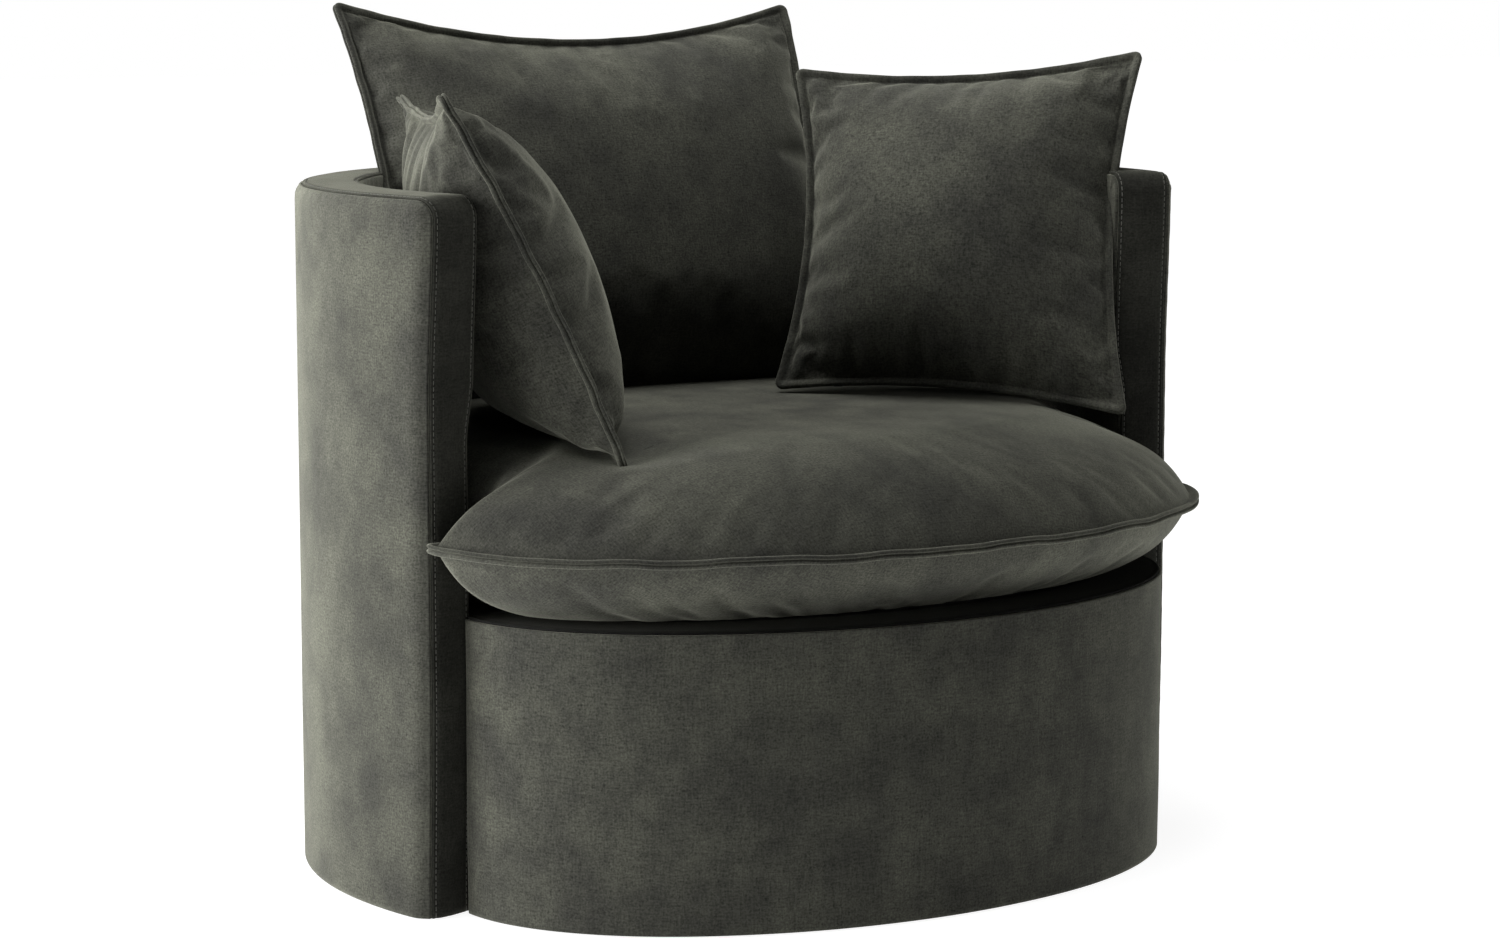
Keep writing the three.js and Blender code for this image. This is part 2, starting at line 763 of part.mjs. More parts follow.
// The zip lies along the foot of the back panel's flange.
function cushionZip(sizes) {
  const near = touchGap / 2 + coverThickness + touchGap;
  const sections = [];
  for (let step = 0; step <= zipSteps; step += 1) {
    const u = zipReachShare * ((2 * step) / zipSteps - 1);
    const edge = cushionPlace(sizes, u, -1);
    const corner = (depth, up) => new THREE.Vector3(edge.x, edge.y + depth, edge.z + up);
    sections.push([
      corner(near, zipMargin),
      corner(near + zipThickness, zipMargin),
      corner(near + zipThickness, zipMargin + zipWidth),
      corner(near, zipMargin + zipWidth),
    ]);
  }
  return loft(sections);
}

function makeCushion(name, sizes, pose) {
  const filling = doubleSheet(
    cushionSheet(sizes, -1, -touchGap, false),
    cushionSheet(sizes, 1, -touchGap, false),
  );
  const group = new THREE.Group();
  group.add(
    makeMesh(`${name}_front_panel`, cushionPanel(sizes, -1), 'velvet'),
    makeMesh(`${name}_back_panel`, cushionPanel(sizes, 1), 'velvet'),
    makeMesh(`${name}_filling`, filling, 'wadding'),
    makeMesh(`${name}_zip`, cushionZip(sizes), 'plastic'),
  );
  group.rotation.set(-pose.lean, pose.roll, pose.yaw, 'ZXY');
  const place = pose.placeShare.clone().multiplyScalar(innerCover.inner);
  group.position.set(place.x, place.y, seatTop + sizes.height);
  return group;
}

// Setting loose cushions against what carries them

const up = new THREE.Vector3(0, 0, 1);
const down = new THREE.Vector3(0, 0, -1);

// The corners, edges and triangles of some meshes, turned so that a direction in the chair points up.
function turnedSurface(meshes, direction) {
  const turn = new THREE.Quaternion().setFromUnitVectors(direction, up);
  const surface = { points: [], edges: [], triangles: [] };
  for (const mesh of meshes) {
    mesh.updateWorldMatrix(true, false);
    const position = mesh.geometry.getAttribute('position');
    const corners = mesh.geometry.getIndex().array;
    const points = [];
    for (let index = 0; index < position.count; index += 1) {
      const point = new THREE.Vector3().fromBufferAttribute(position, index);
      points.push(point.applyMatrix4(mesh.matrixWorld).applyQuaternion(turn));
    }
    surface.points.push(...points);
    for (let start = 0; start < corners.length; start += 3) {
      const [a, b, c] = corners.slice(start, start + 3);
      surface.triangles.push([points[a], points[b], points[c]]);
      for (const [from, to] of [[a, b], [b, c], [c, a]]) {
        if (from < to) surface.edges.push([points[from], points[to]]);
      }
    }
  }
  return surface;
}

// The least rise, of sign times the height between them, from some points to some triangles.
function leastPointRise(points, triangles, sign) {
  const plane = new THREE.Plane();
  const shadow = new THREE.Triangle();
  const flat = (point) => point.clone().setZ(0);
  let least = Infinity;
  for (const [a, b, c] of triangles) {
    const box = new THREE.Box2().setFromPoints([a, b, c]);
    plane.setFromCoplanarPoints(a, b, c);
    shadow.set(flat(a), flat(b), flat(c));
    if (plane.normal.z === 0) continue;
    for (const point of points) {
      if (!box.containsPoint(point) || !shadow.containsPoint(flat(point))) continue;
      const rise = (sign * -plane.distanceToPoint(point)) / plane.normal.z;
      if (rise >= 0) least = Math.min(least, rise);
    }
  }
  return least;
}

// The least rise from some edges to others that cross them in the plan.
function leastEdgeRise(edges, others) {
  let least = Infinity;
  for (const [a, b] of edges) {
    const lowX = Math.min(a.x, b.x);
    const highX = Math.max(a.x, b.x);
    for (const [c, d] of others) {
      if ((c.x < lowX && d.x < lowX) || (c.x > highX && d.x > highX)) continue;
      const cross = (b.x - a.x) * (d.y - c.y) - (b.y - a.y) * (d.x - c.x);
      if (cross === 0) continue;
      const share = ((c.x - a.x) * (d.y - c.y) - (c.y - a.y) * (d.x - c.x)) / cross;
      const otherShare = ((c.x - a.x) * (b.y - a.y) - (c.y - a.y) * (b.x - a.x)) / cross;
      if (share < 0 || share > 1 || otherShare < 0 || otherShare > 1) continue;
      const rise = THREE.MathUtils.lerp(c.z, d.z, otherShare) - THREE.MathUtils.lerp(a.z, b.z, share);
      if (rise >= 0) least = Math.min(least, rise);
    }
  }
  return least;
}

// Moves a cushion along a direction until it is a touch gap away from what it meets.
function moveToTouch(cushion, supports, direction) {
  const moving = turnedSurface(coverMeshes(cushion), direction);
  const fixed = turnedSurface(supports, direction);
  const travel = Math.min(
    leastPointRise(moving.points, fixed.triangles, 1),
    leastPointRise(fixed.points, moving.triangles, -1),
    leastEdgeRise(moving.edges, fixed.edges),
  );
  cushion.position.addScaledVector(direction, travel - touchGap);
}

function coverMeshes(cushion) {
  return cushion.children.filter((mesh) => mesh.name.endsWith('panel'));
}

// Lowers a cushion onto the seat and slides it back against the shell or the cushion behind it.
function settle(cushion, seat, rests, yaw) {
  const backwards = new THREE.Vector3(-Math.sin(yaw), Math.cos(yaw), 0);
  cushion.position.addScaledVector(backwards, -startDistance);
  moveToTouch(cushion, seat, down);
  moveToTouch(cushion, rests, backwards);
  cushion.position.addScaledVector(down, -cushionClearance);
  moveToTouch(cushion, [...seat, ...rests], down);
}

function makeChair() {
  const shell = new THREE.Group();
  shell.add(...makeShell());
  const base = new THREE.Group();
  base.add(...makeSeatBase());
  const seat = makeSeatCushion();
  const backCushion = makeCushion('back_cushion', backCushionSizes, backCushionPose);
  const leftPillow = makeCushion('left_pillow', leftPillowSizes, leftPillowPose);
  const rightPillow = makeCushion('right_pillow', rightPillowSizes, rightPillowPose);
  const seatCovers = coverMeshes(seat);
  const rimNames = ['shell_outer_cover', 'shell_inner_cover', 'rim_cover_strip'];
  const rim = rimNames.map((name) => shell.getObjectByName(name));
  settle(backCushion, seatCovers, rim, backCushionPose.yaw);
  const rests = [...rim, ...coverMeshes(backCushion)];
  settle(leftPillow, seatCovers, rests, leftPillowPose.yaw);
  settle(rightPillow, seatCovers, rests, rightPillowPose.yaw);
  const chair = new THREE.Group();
  chair.add(shell, base, seat, backCushion, leftPillow, rightPillow);
  return chair;
}

// Stands the chair with the middle of its box over the origin.
function centreOnOrigin(object) {
  const box = new THREE.Box3().setFromObject(object, true);
  object.position.set(-(box.min.x + box.max.x) / 2, -(box.min.y + box.max.y) / 2, -box.min.z);
  return object;
}

export default centreOnOrigin(makeChair());
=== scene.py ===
"""Looks of a round upholstered cuddle chair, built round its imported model.

Lengths are in metres, +Z is up and the open front of the chair faces -Y.
"""

import json
import logging
import math
from dataclasses import dataclass, field
from enum import Enum
from typing import Any, Sequence

import bmesh
import bpy
import numpy as np
from mathutils import Matrix, Vector


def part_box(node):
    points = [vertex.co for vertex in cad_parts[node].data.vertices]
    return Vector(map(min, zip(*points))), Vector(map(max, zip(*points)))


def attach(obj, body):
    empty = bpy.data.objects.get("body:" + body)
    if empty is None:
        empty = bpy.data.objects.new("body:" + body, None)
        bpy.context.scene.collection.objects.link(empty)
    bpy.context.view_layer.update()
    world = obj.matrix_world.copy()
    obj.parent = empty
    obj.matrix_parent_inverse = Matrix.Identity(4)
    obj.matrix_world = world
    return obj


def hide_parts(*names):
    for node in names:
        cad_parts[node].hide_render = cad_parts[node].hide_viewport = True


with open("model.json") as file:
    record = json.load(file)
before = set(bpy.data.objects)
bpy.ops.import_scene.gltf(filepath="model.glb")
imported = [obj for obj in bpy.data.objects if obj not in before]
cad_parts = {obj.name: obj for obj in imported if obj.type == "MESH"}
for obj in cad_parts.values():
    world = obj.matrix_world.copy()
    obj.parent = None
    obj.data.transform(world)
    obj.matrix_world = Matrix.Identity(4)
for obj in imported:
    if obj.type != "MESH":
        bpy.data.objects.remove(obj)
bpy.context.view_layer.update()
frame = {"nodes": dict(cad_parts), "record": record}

log = logging.getLogger("cuddle_chair")

MM = 0.001
CLOTH_MAP = "cloth"
DEPTH_MAP = "depth"
# The attribute that carries painted light and painted shade on the seat's panels.
PAINTED_LIGHT_MAP = "painted_light"

WHITE = (1.0, 1.0, 1.0, 1.0)
CLOTH_THICKNESS = 1.8 * MM
TINY = 0.001 * MM
OTHER_WAVES = ((0.57, 2.3, 0.7), (1.73, 4.1, 0.5))
NOISE_ROUGHNESS = 0.6

Points = np.ndarray
Socket = bpy.types.NodeSocket
Colour = tuple[float, float, float]


# Small tools for shapes


def smooth_step(value: Points) -> Points:
    """Eases from 0 to 1 as the value goes from 0 to 1."""
    share = np.clip(value, 0.0, 1.0)
    return share * share * (3.0 - 2.0 * share)


def uneven(along: Points, wavelength: float, phase: float) -> Points:
    """Gives an uneven wave between about -1 and 1, the same on each run.

    Args:
        along: Where the wave is read, in metres.
        wavelength: The usual distance between two crests.
        phase: A shift that makes one wave unlike the next.

    Returns:
        The wave's value at each place.
    """
    turn = 2.0 * math.pi * along / wavelength
    wave = np.sin(turn + phase)
    for pace, shift, weight in OTHER_WAVES:
        wave = wave + weight * np.sin(pace * turn + shift * phase)
    return wave / (1.0 + sum(weight for _, _, weight in OTHER_WAVES))


def bell(away: Points, width: float) -> Points:
    """Falls from 1 at no distance to almost nothing at twice the width, like a bell."""
    return np.exp(-((away / width) ** 2))


def travelled(path: Points) -> Points:
    """Gives the way travelled along a path up to each of its points."""
    return np.concatenate([[0.0], np.cumsum(np.linalg.norm(np.diff(path, axis=0), axis=1))])


def closed(outline: Points) -> Points:
    """Repeats the first point of an outline at its end."""
    return np.concatenate([outline, outline[:1]])


def unit(vectors: Points) -> Points:
    """Scales vectors to a length of 1."""
    return vectors / np.linalg.norm(vectors, axis=-1, keepdims=True)


def graded(length: float, first: float, growth: float) -> Points:
    """Gives distances from 0 to a length whose steps grow from a first one.

    Args:
        length: The last distance.
        first: The first step.
        growth: How much longer each step is than the one before.

    Returns:
        The distances, from 0 to the length.
    """
    steps = [0.0]
    step = first
    while steps[-1] + step < length:
        steps.append(steps[-1] + step)
        step *= growth
    return np.array(steps) * (length / steps[-1])


# Finishes


class ShaderDraft:
    """The nodes of a material or a world, added one call at a time."""

    def __init__(self, holder: bpy.types.Material | bpy.types.World) -> None:
        """Clears the holder's nodes."""
        holder.use_nodes = True
        self.holder = holder
        self.tree = holder.node_tree
        self.tree.nodes.clear()

    def feed(self, socket: Socket, value: Any) -> None:
        """Gives an input another node's output or a plain value."""
        if isinstance(value, Socket):
            self.tree.links.new(value, socket)
        else:
            socket.default_value = value

    def node(self, kind: str, sockets: dict[Any, Any] | None = None, **settings: Any) -> bpy.types.Node:
        """Adds a node.

        Args:
            kind: The node's type.
            sockets: Its inputs by name or number: another node's output, or a plain value.
            settings: Its own properties.

        Returns:
            The new node.
        """
        made = self.tree.nodes.new(kind)
        for key, value in settings.items():
            setattr(made, key, value)
        for key, value in (sockets or {}).items():
            self.feed(made.inputs[key], value)
        return made

    def maths(self, operation: str, first: Any, second: Any) -> Socket:
        """Adds a Math node and returns its output."""
        return self.node("ShaderNodeMath", {0: first, 1: second}, operation=operation).outputs[0]

    def ramp(self, value: Socket, ends: Sequence[float], kind: str = "SMOOTHSTEP",
             levels: Sequence[float] = (0.0, 1.0)) -> Socket:
        """Turns the values between two ends into those between two levels.

        Args:
            value: The value that is read.
            ends: The values that become the first and the second level.
            kind: How it runs from one to the other.
            levels: The levels.

        Returns:
            The node's output.
        """
        names = ("From Min", "From Max", "To Min", "To Max")
        sockets = {"Value": value, **dict(zip(names, (*ends, *levels)))}
        return self.node("ShaderNodeMapRange", sockets, interpolation_type=kind).outputs["Result"]

    def blend(self, share: Any, first: Colour, second: Colour) -> Socket:
        """Mixes two colours by a share and returns the result."""
        sockets = {0: share, 6: opaque(first), 7: opaque(second)}
        return self.node("ShaderNodeMix", sockets, data_type="RGBA").outputs[2]

    def mix(self, share: Any, first: bpy.types.Node, second: bpy.types.Node) -> bpy.types.Node:
        """Mixes two shaders by a share and returns the node."""
        return self.node("ShaderNodeMixShader", {0: share, 1: first.outputs[0], 2: second.outputs[0]})

    def noise(self, place: Socket, scale: Sequence[float], detail: float) -> Socket:
        """Reads a noise, stretched by a scale on each axis, and returns its value."""
        mapping = self.node("ShaderNodeMapping", {"Vector": place, "Scale": scale})
        sockets = {"Vector": mapping.outputs[0], "Scale": 1.0, "Detail": detail}
        sockets["Roughness"] = NOISE_ROUGHNESS
        return self.node("ShaderNodeTexNoise", sockets).outputs["Fac"]

    def surface(self, height: Socket, strength: float, distance: float,
                **sockets: Any) -> bpy.types.Material:
        """Finishes the material with a shader over a fine relief.

        Args:
            height: The relief.
            strength: How much of it shows.
            distance: How high it stands, in metres.
            sockets: The shader's inputs, with _ for the blanks in their names.

        Returns:
            The material.
        """
        bump = self.node("ShaderNodeBump", {"Height": height, "Strength": strength, "Distance": distance})
        named = {name.replace("_", " "): value for name, value in sockets.items()}
        shader = self.node("ShaderNodeBsdfPrincipled", {**named, "Normal": bump.outputs[0]})
        return self.finish(shader, "ShaderNodeOutputMaterial")

    def finish(self, shader: bpy.types.Node, output: str) -> Any:
        """Joins the shader to an output of that kind and returns the material or world."""
        self.node(output, {"Surface": shader.outputs[0]})
        return self.holder


def new_draft(name: str) -> ShaderDraft:
    """Starts the draft of a new material."""
    return ShaderDraft(bpy.data.materials.new(name))


def opaque(colour: Colour) -> tuple[float, float, float, float]:
    """Adds a full alpha to a colour."""
    return (*colour, 1.0)


@dataclass(frozen=True)
class Velvet:
    """A short-pile velvet on a linen-like ground, mottled where the pile leans, its colour brightened by a
    painted sheen towards grazing view.
    """

    name: str = "velvet"
    dark: Colour = (0.0310, 0.0312, 0.0270)
    light: Colour = (0.0655, 0.0665, 0.0530)
    sheen_tint: Colour = (0.84, 0.85, 0.70)
    sheen: float = 0.24
    sheen_roughness: float = 0.38
    roughness: float = 0.88
    specular: float = 0.1
    blotch_scale: float = 8.5
    smudge_scale: tuple[float, float, float] = (27.0, 18.9, 27.0)
    thread_scale: float = 560.0
    thread_length_scale: float = 95.0
    pile_scale: float = 430.0
    thread_weight: float = 0.8
    pile_weight: float = 0.85
    grain_contrast: float = 2.5
    # Painted sheen: the colour is scaled by face_on when seen face-on and brightened towards grazing view by
    # the two values below.
    face_on: float = 0.86
    painted_sheen_gain: float = 1.3
    painted_sheen_power: float = 2.6
    blotch_weight: float = 0.62
    lean_ends: tuple[float, float] = (0.30, 0.70)
    least_shade: float = 0.2
    bump_strength: float = 0.55
    bump_distance: float = 0.6 * MM

    def material(self) -> bpy.types.Material:
        """Makes the velvet's material."""
        draft = new_draft(self.name)
        cloth = draft.node("ShaderNodeAttribute", attribute_name=CLOTH_MAP).outputs["Vector"]
        blotch = draft.noise(cloth, (self.blotch_scale,) * 3, 3.0)
        smudge = draft.noise(cloth, self.smudge_scale, 4.0)
        fine, long = self.thread_scale, self.thread_length_scale
        warp = draft.noise(cloth, (fine, long, long), 2.0)
        weft = draft.noise(cloth, (long, fine, long), 2.0)
        pile = draft.noise(cloth, (self.pile_scale,) * 3, 3.0)
        blotches = draft.maths("MULTIPLY", blotch, self.blotch_weight)
        smudges = draft.maths("MULTIPLY", smudge, 1.0 - self.blotch_weight)
        lean = draft.ramp(draft.maths("ADD", blotches, smudges), self.lean_ends)
        threads = draft.maths("MULTIPLY", draft.maths("ADD", warp, weft), self.thread_weight / 2)
        grain = draft.maths("ADD", threads, draft.maths("MULTIPLY", pile, self.pile_weight))
        middle = (self.thread_weight + self.pile_weight) / 2
        ground = draft.blend(lean, self.dark, self.light)
        uneven_grain = draft.maths("MULTIPLY", draft.maths("SUBTRACT", grain, middle), self.grain_contrast)
        shade = draft.maths("MAXIMUM", draft.maths("ADD", uneven_grain, 1.0), self.least_shade)
        # Painted sheen: the base colour is brightened towards grazing view, on top of the sheen shader.
        facing = draft.node("ShaderNodeLayerWeight", {"Blend": 0.5}).outputs["Facing"]
        rim = draft.maths("MULTIPLY", draft.maths("POWER", facing, self.painted_sheen_power), self.painted_sheen_gain)
        shade = draft.maths("MULTIPLY", shade, draft.maths("ADD", rim, self.face_on))
        # Painted light and painted shade: the colour is scaled by a share that each panel carries, lighter on
        # the seat's underside and darker on its top.
        painted_light = draft.node("ShaderNodeAttribute", attribute_name=PAINTED_LIGHT_MAP).outputs["Fac"]
        shade = draft.maths("MULTIPLY", shade, draft.maths("ADD", painted_light, 1.0))
        shaded = draft.node("ShaderNodeVectorMath", {0: ground, "Scale": shade}, operation="SCALE")
        return draft.surface(
            grain,
            self.bump_strength,
            self.bump_distance,
            Base_Color=shaded.outputs[0],
            Roughness=self.roughness,
            Specular_IOR_Level=self.specular,
            Sheen_Weight=self.sheen,
            Sheen_Roughness=self.sheen_roughness,
            Sheen_Tint=opaque(self.sheen_tint),
        )


@dataclass(frozen=True)
class Grained:
    """A plain material with a fine grain between two colours, such as thread, plywood, foam or steel."""

    name: str
    dark: Colour
    light: Colour
    scale: Sequence[float]
    roughness: float = 0.8
    metallic: float = 0.0
    detail: float = 3.0
    ends: tuple[float, float] | None = (0.35, 0.65)
    bump_strength: float = 0.3
    bump_distance: float = 0.2 * MM

    def material(self) -> bpy.types.Material:
        """Makes the grained material."""
        draft = new_draft(self.name)
        place = draft.node("ShaderNodeTexCoord").outputs["Object"]
        grain = draft.noise(place, self.scale, self.detail)
        share = draft.ramp(grain, self.ends) if self.ends else grain
        colour = draft.blend(share, self.dark, self.light)
        plain = {"Base_Color": colour, "Roughness": self.roughness, "Metallic": self.metallic}
        return draft.surface(grain, self.bump_strength, self.bump_distance, **plain)


def speckled(
    name: str, dark: Colour, light: Colour, scale: float, roughness: float, metallic: float = 0.0
) -> Grained:
    """Describes an even material with a fine speckle, such as foam, cloth or moulded plastic."""
    return Grained(name, dark, light, (scale,) * 3, roughness, metallic)


def sheet_board(name: str, dark: Colour, light: Colour, across: float, along: float) -> Grained:
    """Describes a board whose grain runs one way."""
    return Grained(
        name,
        dark,
        light,
        scale=(along, across, across),
        roughness=0.7,
        detail=4.0,
        ends=(0.3, 0.7),
        bump_distance=0.3 * MM,
    )


class Finish(Enum):
    """The chair's finishes, each named as its slot in the record."""

    VELVET = "velvet"
    FOAM = "foam"
    WADDING = "wadding"
    PLYWOOD = "plywood"
    HARDBOARD = "hardboard"
    STEEL = "steel"
    LINING = "lining"
    PLASTIC = "plastic"


@dataclass
class Wardrobe:
    """Makes each material once and hands it out."""

    thread: bpy.types.Material = field(init=False)
    shaded_strip_velvet: bpy.types.Material = field(init=False)
    shaded_border_velvet: bpy.types.Material = field(init=False)
    materials: dict[Finish, bpy.types.Material] = field(init=False)

    def __post_init__(self) -> None:
        """Makes all the materials."""
        self.thread = Grained(
            "sewing_thread", (0.07, 0.07, 0.06), (0.15, 0.15, 0.13), (2600.0,) * 3, 0.6,
            detail=1.0, ends=None, bump_strength=0.4,
        ).material()
        # Painted shade: a darker copy of the velvet for the rim strip, standing in for the shade on the arm
        # fronts.
        shaded_copy = Velvet("velvet_painted_with_arm_shade", (0.014, 0.0142, 0.0115), (0.032, 0.0324, 0.0265))
        self.shaded_strip_velvet = shaded_copy.material()
        # Painted shadow: a near-black copy of the velvet with almost no sheen, for the deck border under the
        # seat cushion.
        deck = Velvet("velvet_painted_with_deck_shade", (0.004, 0.004, 0.0035), (0.009, 0.009, 0.008), sheen=0.02)
        self.shaded_border_velvet = deck.material()
        looks = {
            Finish.VELVET: Velvet(),
            Finish.FOAM: speckled("foam", (0.62, 0.52, 0.28), (0.80, 0.72, 0.47), 260.0, 0.95),
            Finish.WADDING: speckled("wadding", (0.70, 0.70, 0.68), (0.86, 0.86, 0.85), 180.0, 1.0),
            Finish.PLYWOOD: sheet_board("plywood", (0.42, 0.27, 0.13), (0.62, 0.44, 0.24), 90.0, 5.0),
            Finish.HARDBOARD: sheet_board("hardboard", (0.17, 0.09, 0.04), (0.30, 0.17, 0.08), 300.0, 120.0),
            Finish.STEEL: speckled("spring_steel", (0.22, 0.23, 0.24), (0.36, 0.37, 0.38), 900.0, 0.35, 1.0),
            Finish.LINING: speckled("lining", (0.008, 0.008, 0.008), (0.022, 0.022, 0.021), 900.0, 0.95),
            Finish.PLASTIC: speckled(
                "moulded_plastic", (0.006, 0.006, 0.007), (0.014, 0.014, 0.015), 500.0, 0.45
            ),
        }
        self.materials = {finish: look.material() for finish, look in looks.items()}

    def dress(self, piece: bpy.types.Object, finish: Finish) -> None:
        """Gives a piece one material."""
        piece.data.materials.clear()
        piece.data.materials.append(self.materials[finish])

    def dress_frame(self, nodes: dict[str, bpy.types.Object], record: dict[str, Any]) -> None:
        """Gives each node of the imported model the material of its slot."""
        for subpart in record["subparts"]:
            node = nodes[subpart["node"]]
            material = self.materials[Finish(subpart["material_slot"])]
            if not node.material_slots:
                node.data.materials.append(material)
            for slot in node.material_slots:
                slot.material = material


# Meshes of cloth


class ClothMesh:
    """Grids of points with flat cloth coordinates that become one object."""

    weld_distance = 0.02 * MM

    def __init__(self, patch: float) -> None:
        """Starts an empty mesh.

        Args:
            patch: A number that picks the part of the velvet's mottling that the piece is cut from.
        """
        self.patch = patch
        self.points: list[Points] = []
        self.cloth: list[Points] = []
        self.depths: list[Points] = []
        self.painted_lights: list[Points] = []
        self.faces: list[Points] = []
        self.count = 0

    def add_grid(
        self, points: Points, cloth: Points, flipped: bool = False, depth: Any = 1.0, painted_light: float = 0.0
    ) -> None:
        """Adds a grid of points and its faces.

        Args:
            points: Rows and columns of places.
            cloth: The flat cloth coordinates at each, in metres.
            flipped: Whether the faces look the other way.
            depth: How far each place lies inside the outer edge of a cushion.
            painted_light: How much lighter the panel's velvet is coloured, as painted light; a value below 0
                is painted shade.
        """
        rows, columns = points.shape[:2]
        numbers = self.count + np.arange(rows * columns).reshape(rows, columns)
        quads = np.stack([numbers[:-1, :-1], numbers[:-1, 1:], numbers[1:, 1:], numbers[1:, :-1]], axis=-1)
        quads = quads.reshape(-1, 4)
        self.faces.append(quads[:, ::-1] if flipped else quads)
        self.points.append(points.reshape(-1, 3))
        flat = np.full((rows * columns, 3), self.patch)
        flat[:, :2] = cloth.reshape(-1, 2)
        self.cloth.append(flat)
        self.depths.append(np.broadcast_to(depth, points.shape[:2]).ravel())
        self.painted_lights.append(np.full(rows * columns, painted_light))
        self.count += rows * columns

    def build(self, name: str) -> bpy.types.Object:
        """Joins the grids where they meet and links the object into the scene.

        Args:
            name: The new object's name.

        Returns:
            The object.
        """
        mesh = bpy.data.meshes.new(name)
        faces = np.concatenate(self.faces).tolist()
        mesh.from_pydata(np.concatenate(self.points).tolist(), [], faces)
        cloth = mesh.attributes.new(CLOTH_MAP, "FLOAT_VECTOR", "POINT")
        cloth.data.foreach_set("vector", np.concatenate(self.cloth).ravel())
        for label, parts in ((DEPTH_MAP, self.depths), (PAINTED_LIGHT_MAP, self.painted_lights)):
            layer = mesh.attributes.new(label, "FLOAT", "POINT")
            layer.data.foreach_set("value", np.concatenate(parts))
        draft = bmesh.new()
        draft.from_mesh(mesh)
        bmesh.ops.remove_doubles(draft, verts=draft.verts, dist=self.weld_distance)
        bmesh.ops.dissolve_degenerate(draft, edges=draft.edges, dist=self.weld_distance / 2)
        draft.to_mesh(mesh)
        draft.free()
        mesh.shade_smooth()
        return link(name, mesh)

    def sheet(self, name: str, thickness: float = CLOTH_THICKNESS) -> bpy.types.Object:
        """Builds the grids as a closed body that is as thick as the cloth, behind their faces."""
        piece = self.build(name)
        solid = piece.modifiers.new("cloth_thickness", "SOLIDIFY")
        solid.thickness = thickness
        solid.offset = -1.0
        apply_modifiers(piece)
        return piece


def single_sheet(
    name: str, patch: float, points: Points, cloth: Points, flipped: bool, thickness: float = CLOTH_THICKNESS
) -> bpy.types.Object:
    """Makes a sheet of one grid.

    Args:
        name: The new object's name.
        patch: The part of the velvet's mottling that it is cut from.
        points: Rows and columns of places.
        cloth: The flat cloth coordinates at each.
        flipped: Whether the faces look the other way.
        thickness: How thick the cloth is.

    Returns:
        The sheet.
    """
    mesh = ClothMesh(patch)
    mesh.add_grid(points, cloth, flipped)
    return mesh.sheet(name, thickness)


def link(name: str, data: bpy.types.ID) -> bpy.types.Object:
    """Makes an object of its data and links it into the scene."""
    made = bpy.data.objects.new(name, data)
    bpy.context.scene.collection.objects.link(made)
    return made


def apply_modifiers(piece: bpy.types.Object) -> None:
    """Writes a piece's modifiers into its mesh."""
    graph = bpy.context.evaluated_depsgraph_get()
    settled = bpy.data.meshes.new_from_object(piece.evaluated_get(graph))
    piece.modifiers.clear()
    piece.data = settled


def subdivide(piece: bpy.types.Object) -> None:
    """Gives a piece one level of subdivision, written into its mesh."""
    surface = piece.modifiers.new("fine_surface", "SUBSURF")
    surface.levels = 1
    surface.render_levels = 1
    apply_modifiers(piece)


def coordinates(piece: bpy.types.Object) -> Points:
    """Reads the places of a piece's vertices."""
    places = np.zeros(len(piece.data.vertices) * 3)
    piece.data.vertices.foreach_get("co", places)
    return places.reshape(-1, 3)


def within(piece: bpy.types.Object, depth: float) -> Points:
    """Gives the numbers of the vertices that lie within a depth of a cushion's outer edge."""
    depths = np.zeros(len(piece.data.vertices))
    piece.data.attributes[DEPTH_MAP].data.foreach_get("value", depths)
    return np.nonzero(depths < depth)[0]


def unrolled(sheet: Points) -> Points:
    """Measures a panel along its rows and columns, from its middle, to lay the cloth on it evenly."""
    across = np.linalg.norm(np.diff(sheet, axis=1, prepend=sheet[:, :1]), axis=-1).cumsum(axis=1)
    up = np.linalg.norm(np.diff(sheet, axis=0, prepend=sheet[:1]), axis=-1).cumsum(axis=0)
    rows, columns = across.shape
    return np.stack([across - across[:, columns // 2, None], up - up[rows // 2]], axis=-1)


def set_coordinates(piece: bpy.types.Object, places: Points) -> None:
    """Writes the places of a piece's vertices."""
    piece.data.vertices.foreach_set("co", places.ravel())
    piece.data.update()


@dataclass(frozen=True)
class Seam:
    """How two panels are sewn together at an edge of the upholstery."""

    groove_depth: float = 1.2 * MM
    groove_width: float = 1.6 * MM
    roll_height: float = 0.8 * MM
    roll_share: float = 1.4
    topstitch: float = 4.9 * MM
    topstitch_dip: float = 0.8 * MM
    topstitch_width: float = 1.5 * MM
    pucker: float = 0.35 * MM
    pucker_wavelength: float = 26.0 * MM
    pucker_away: float = 9.0 * MM
    pucker_reach: float = 7.0 * MM
    corner_pucker: float = 1.8

    def lift(self, away: Points, stitched: bool) -> Points:
        """Gives how far the cloth stands over the plain shape near the seam.

        Args:
            away: The distance from the seam.
            stitched: Whether a topstitch runs beside the seam on this side.

        Returns:
            The lift at each distance.
        """
        groove = -self.groove_depth * (1.0 - smooth_step(away / self.groove_width))
        roll = self.roll_height * bell(away - self.roll_share * self.groove_width, self.groove_width)
        if not stitched:
            return groove + roll
        return groove + roll - self.topstitch_dip * bell(away - self.topstitch, self.topstitch_width)


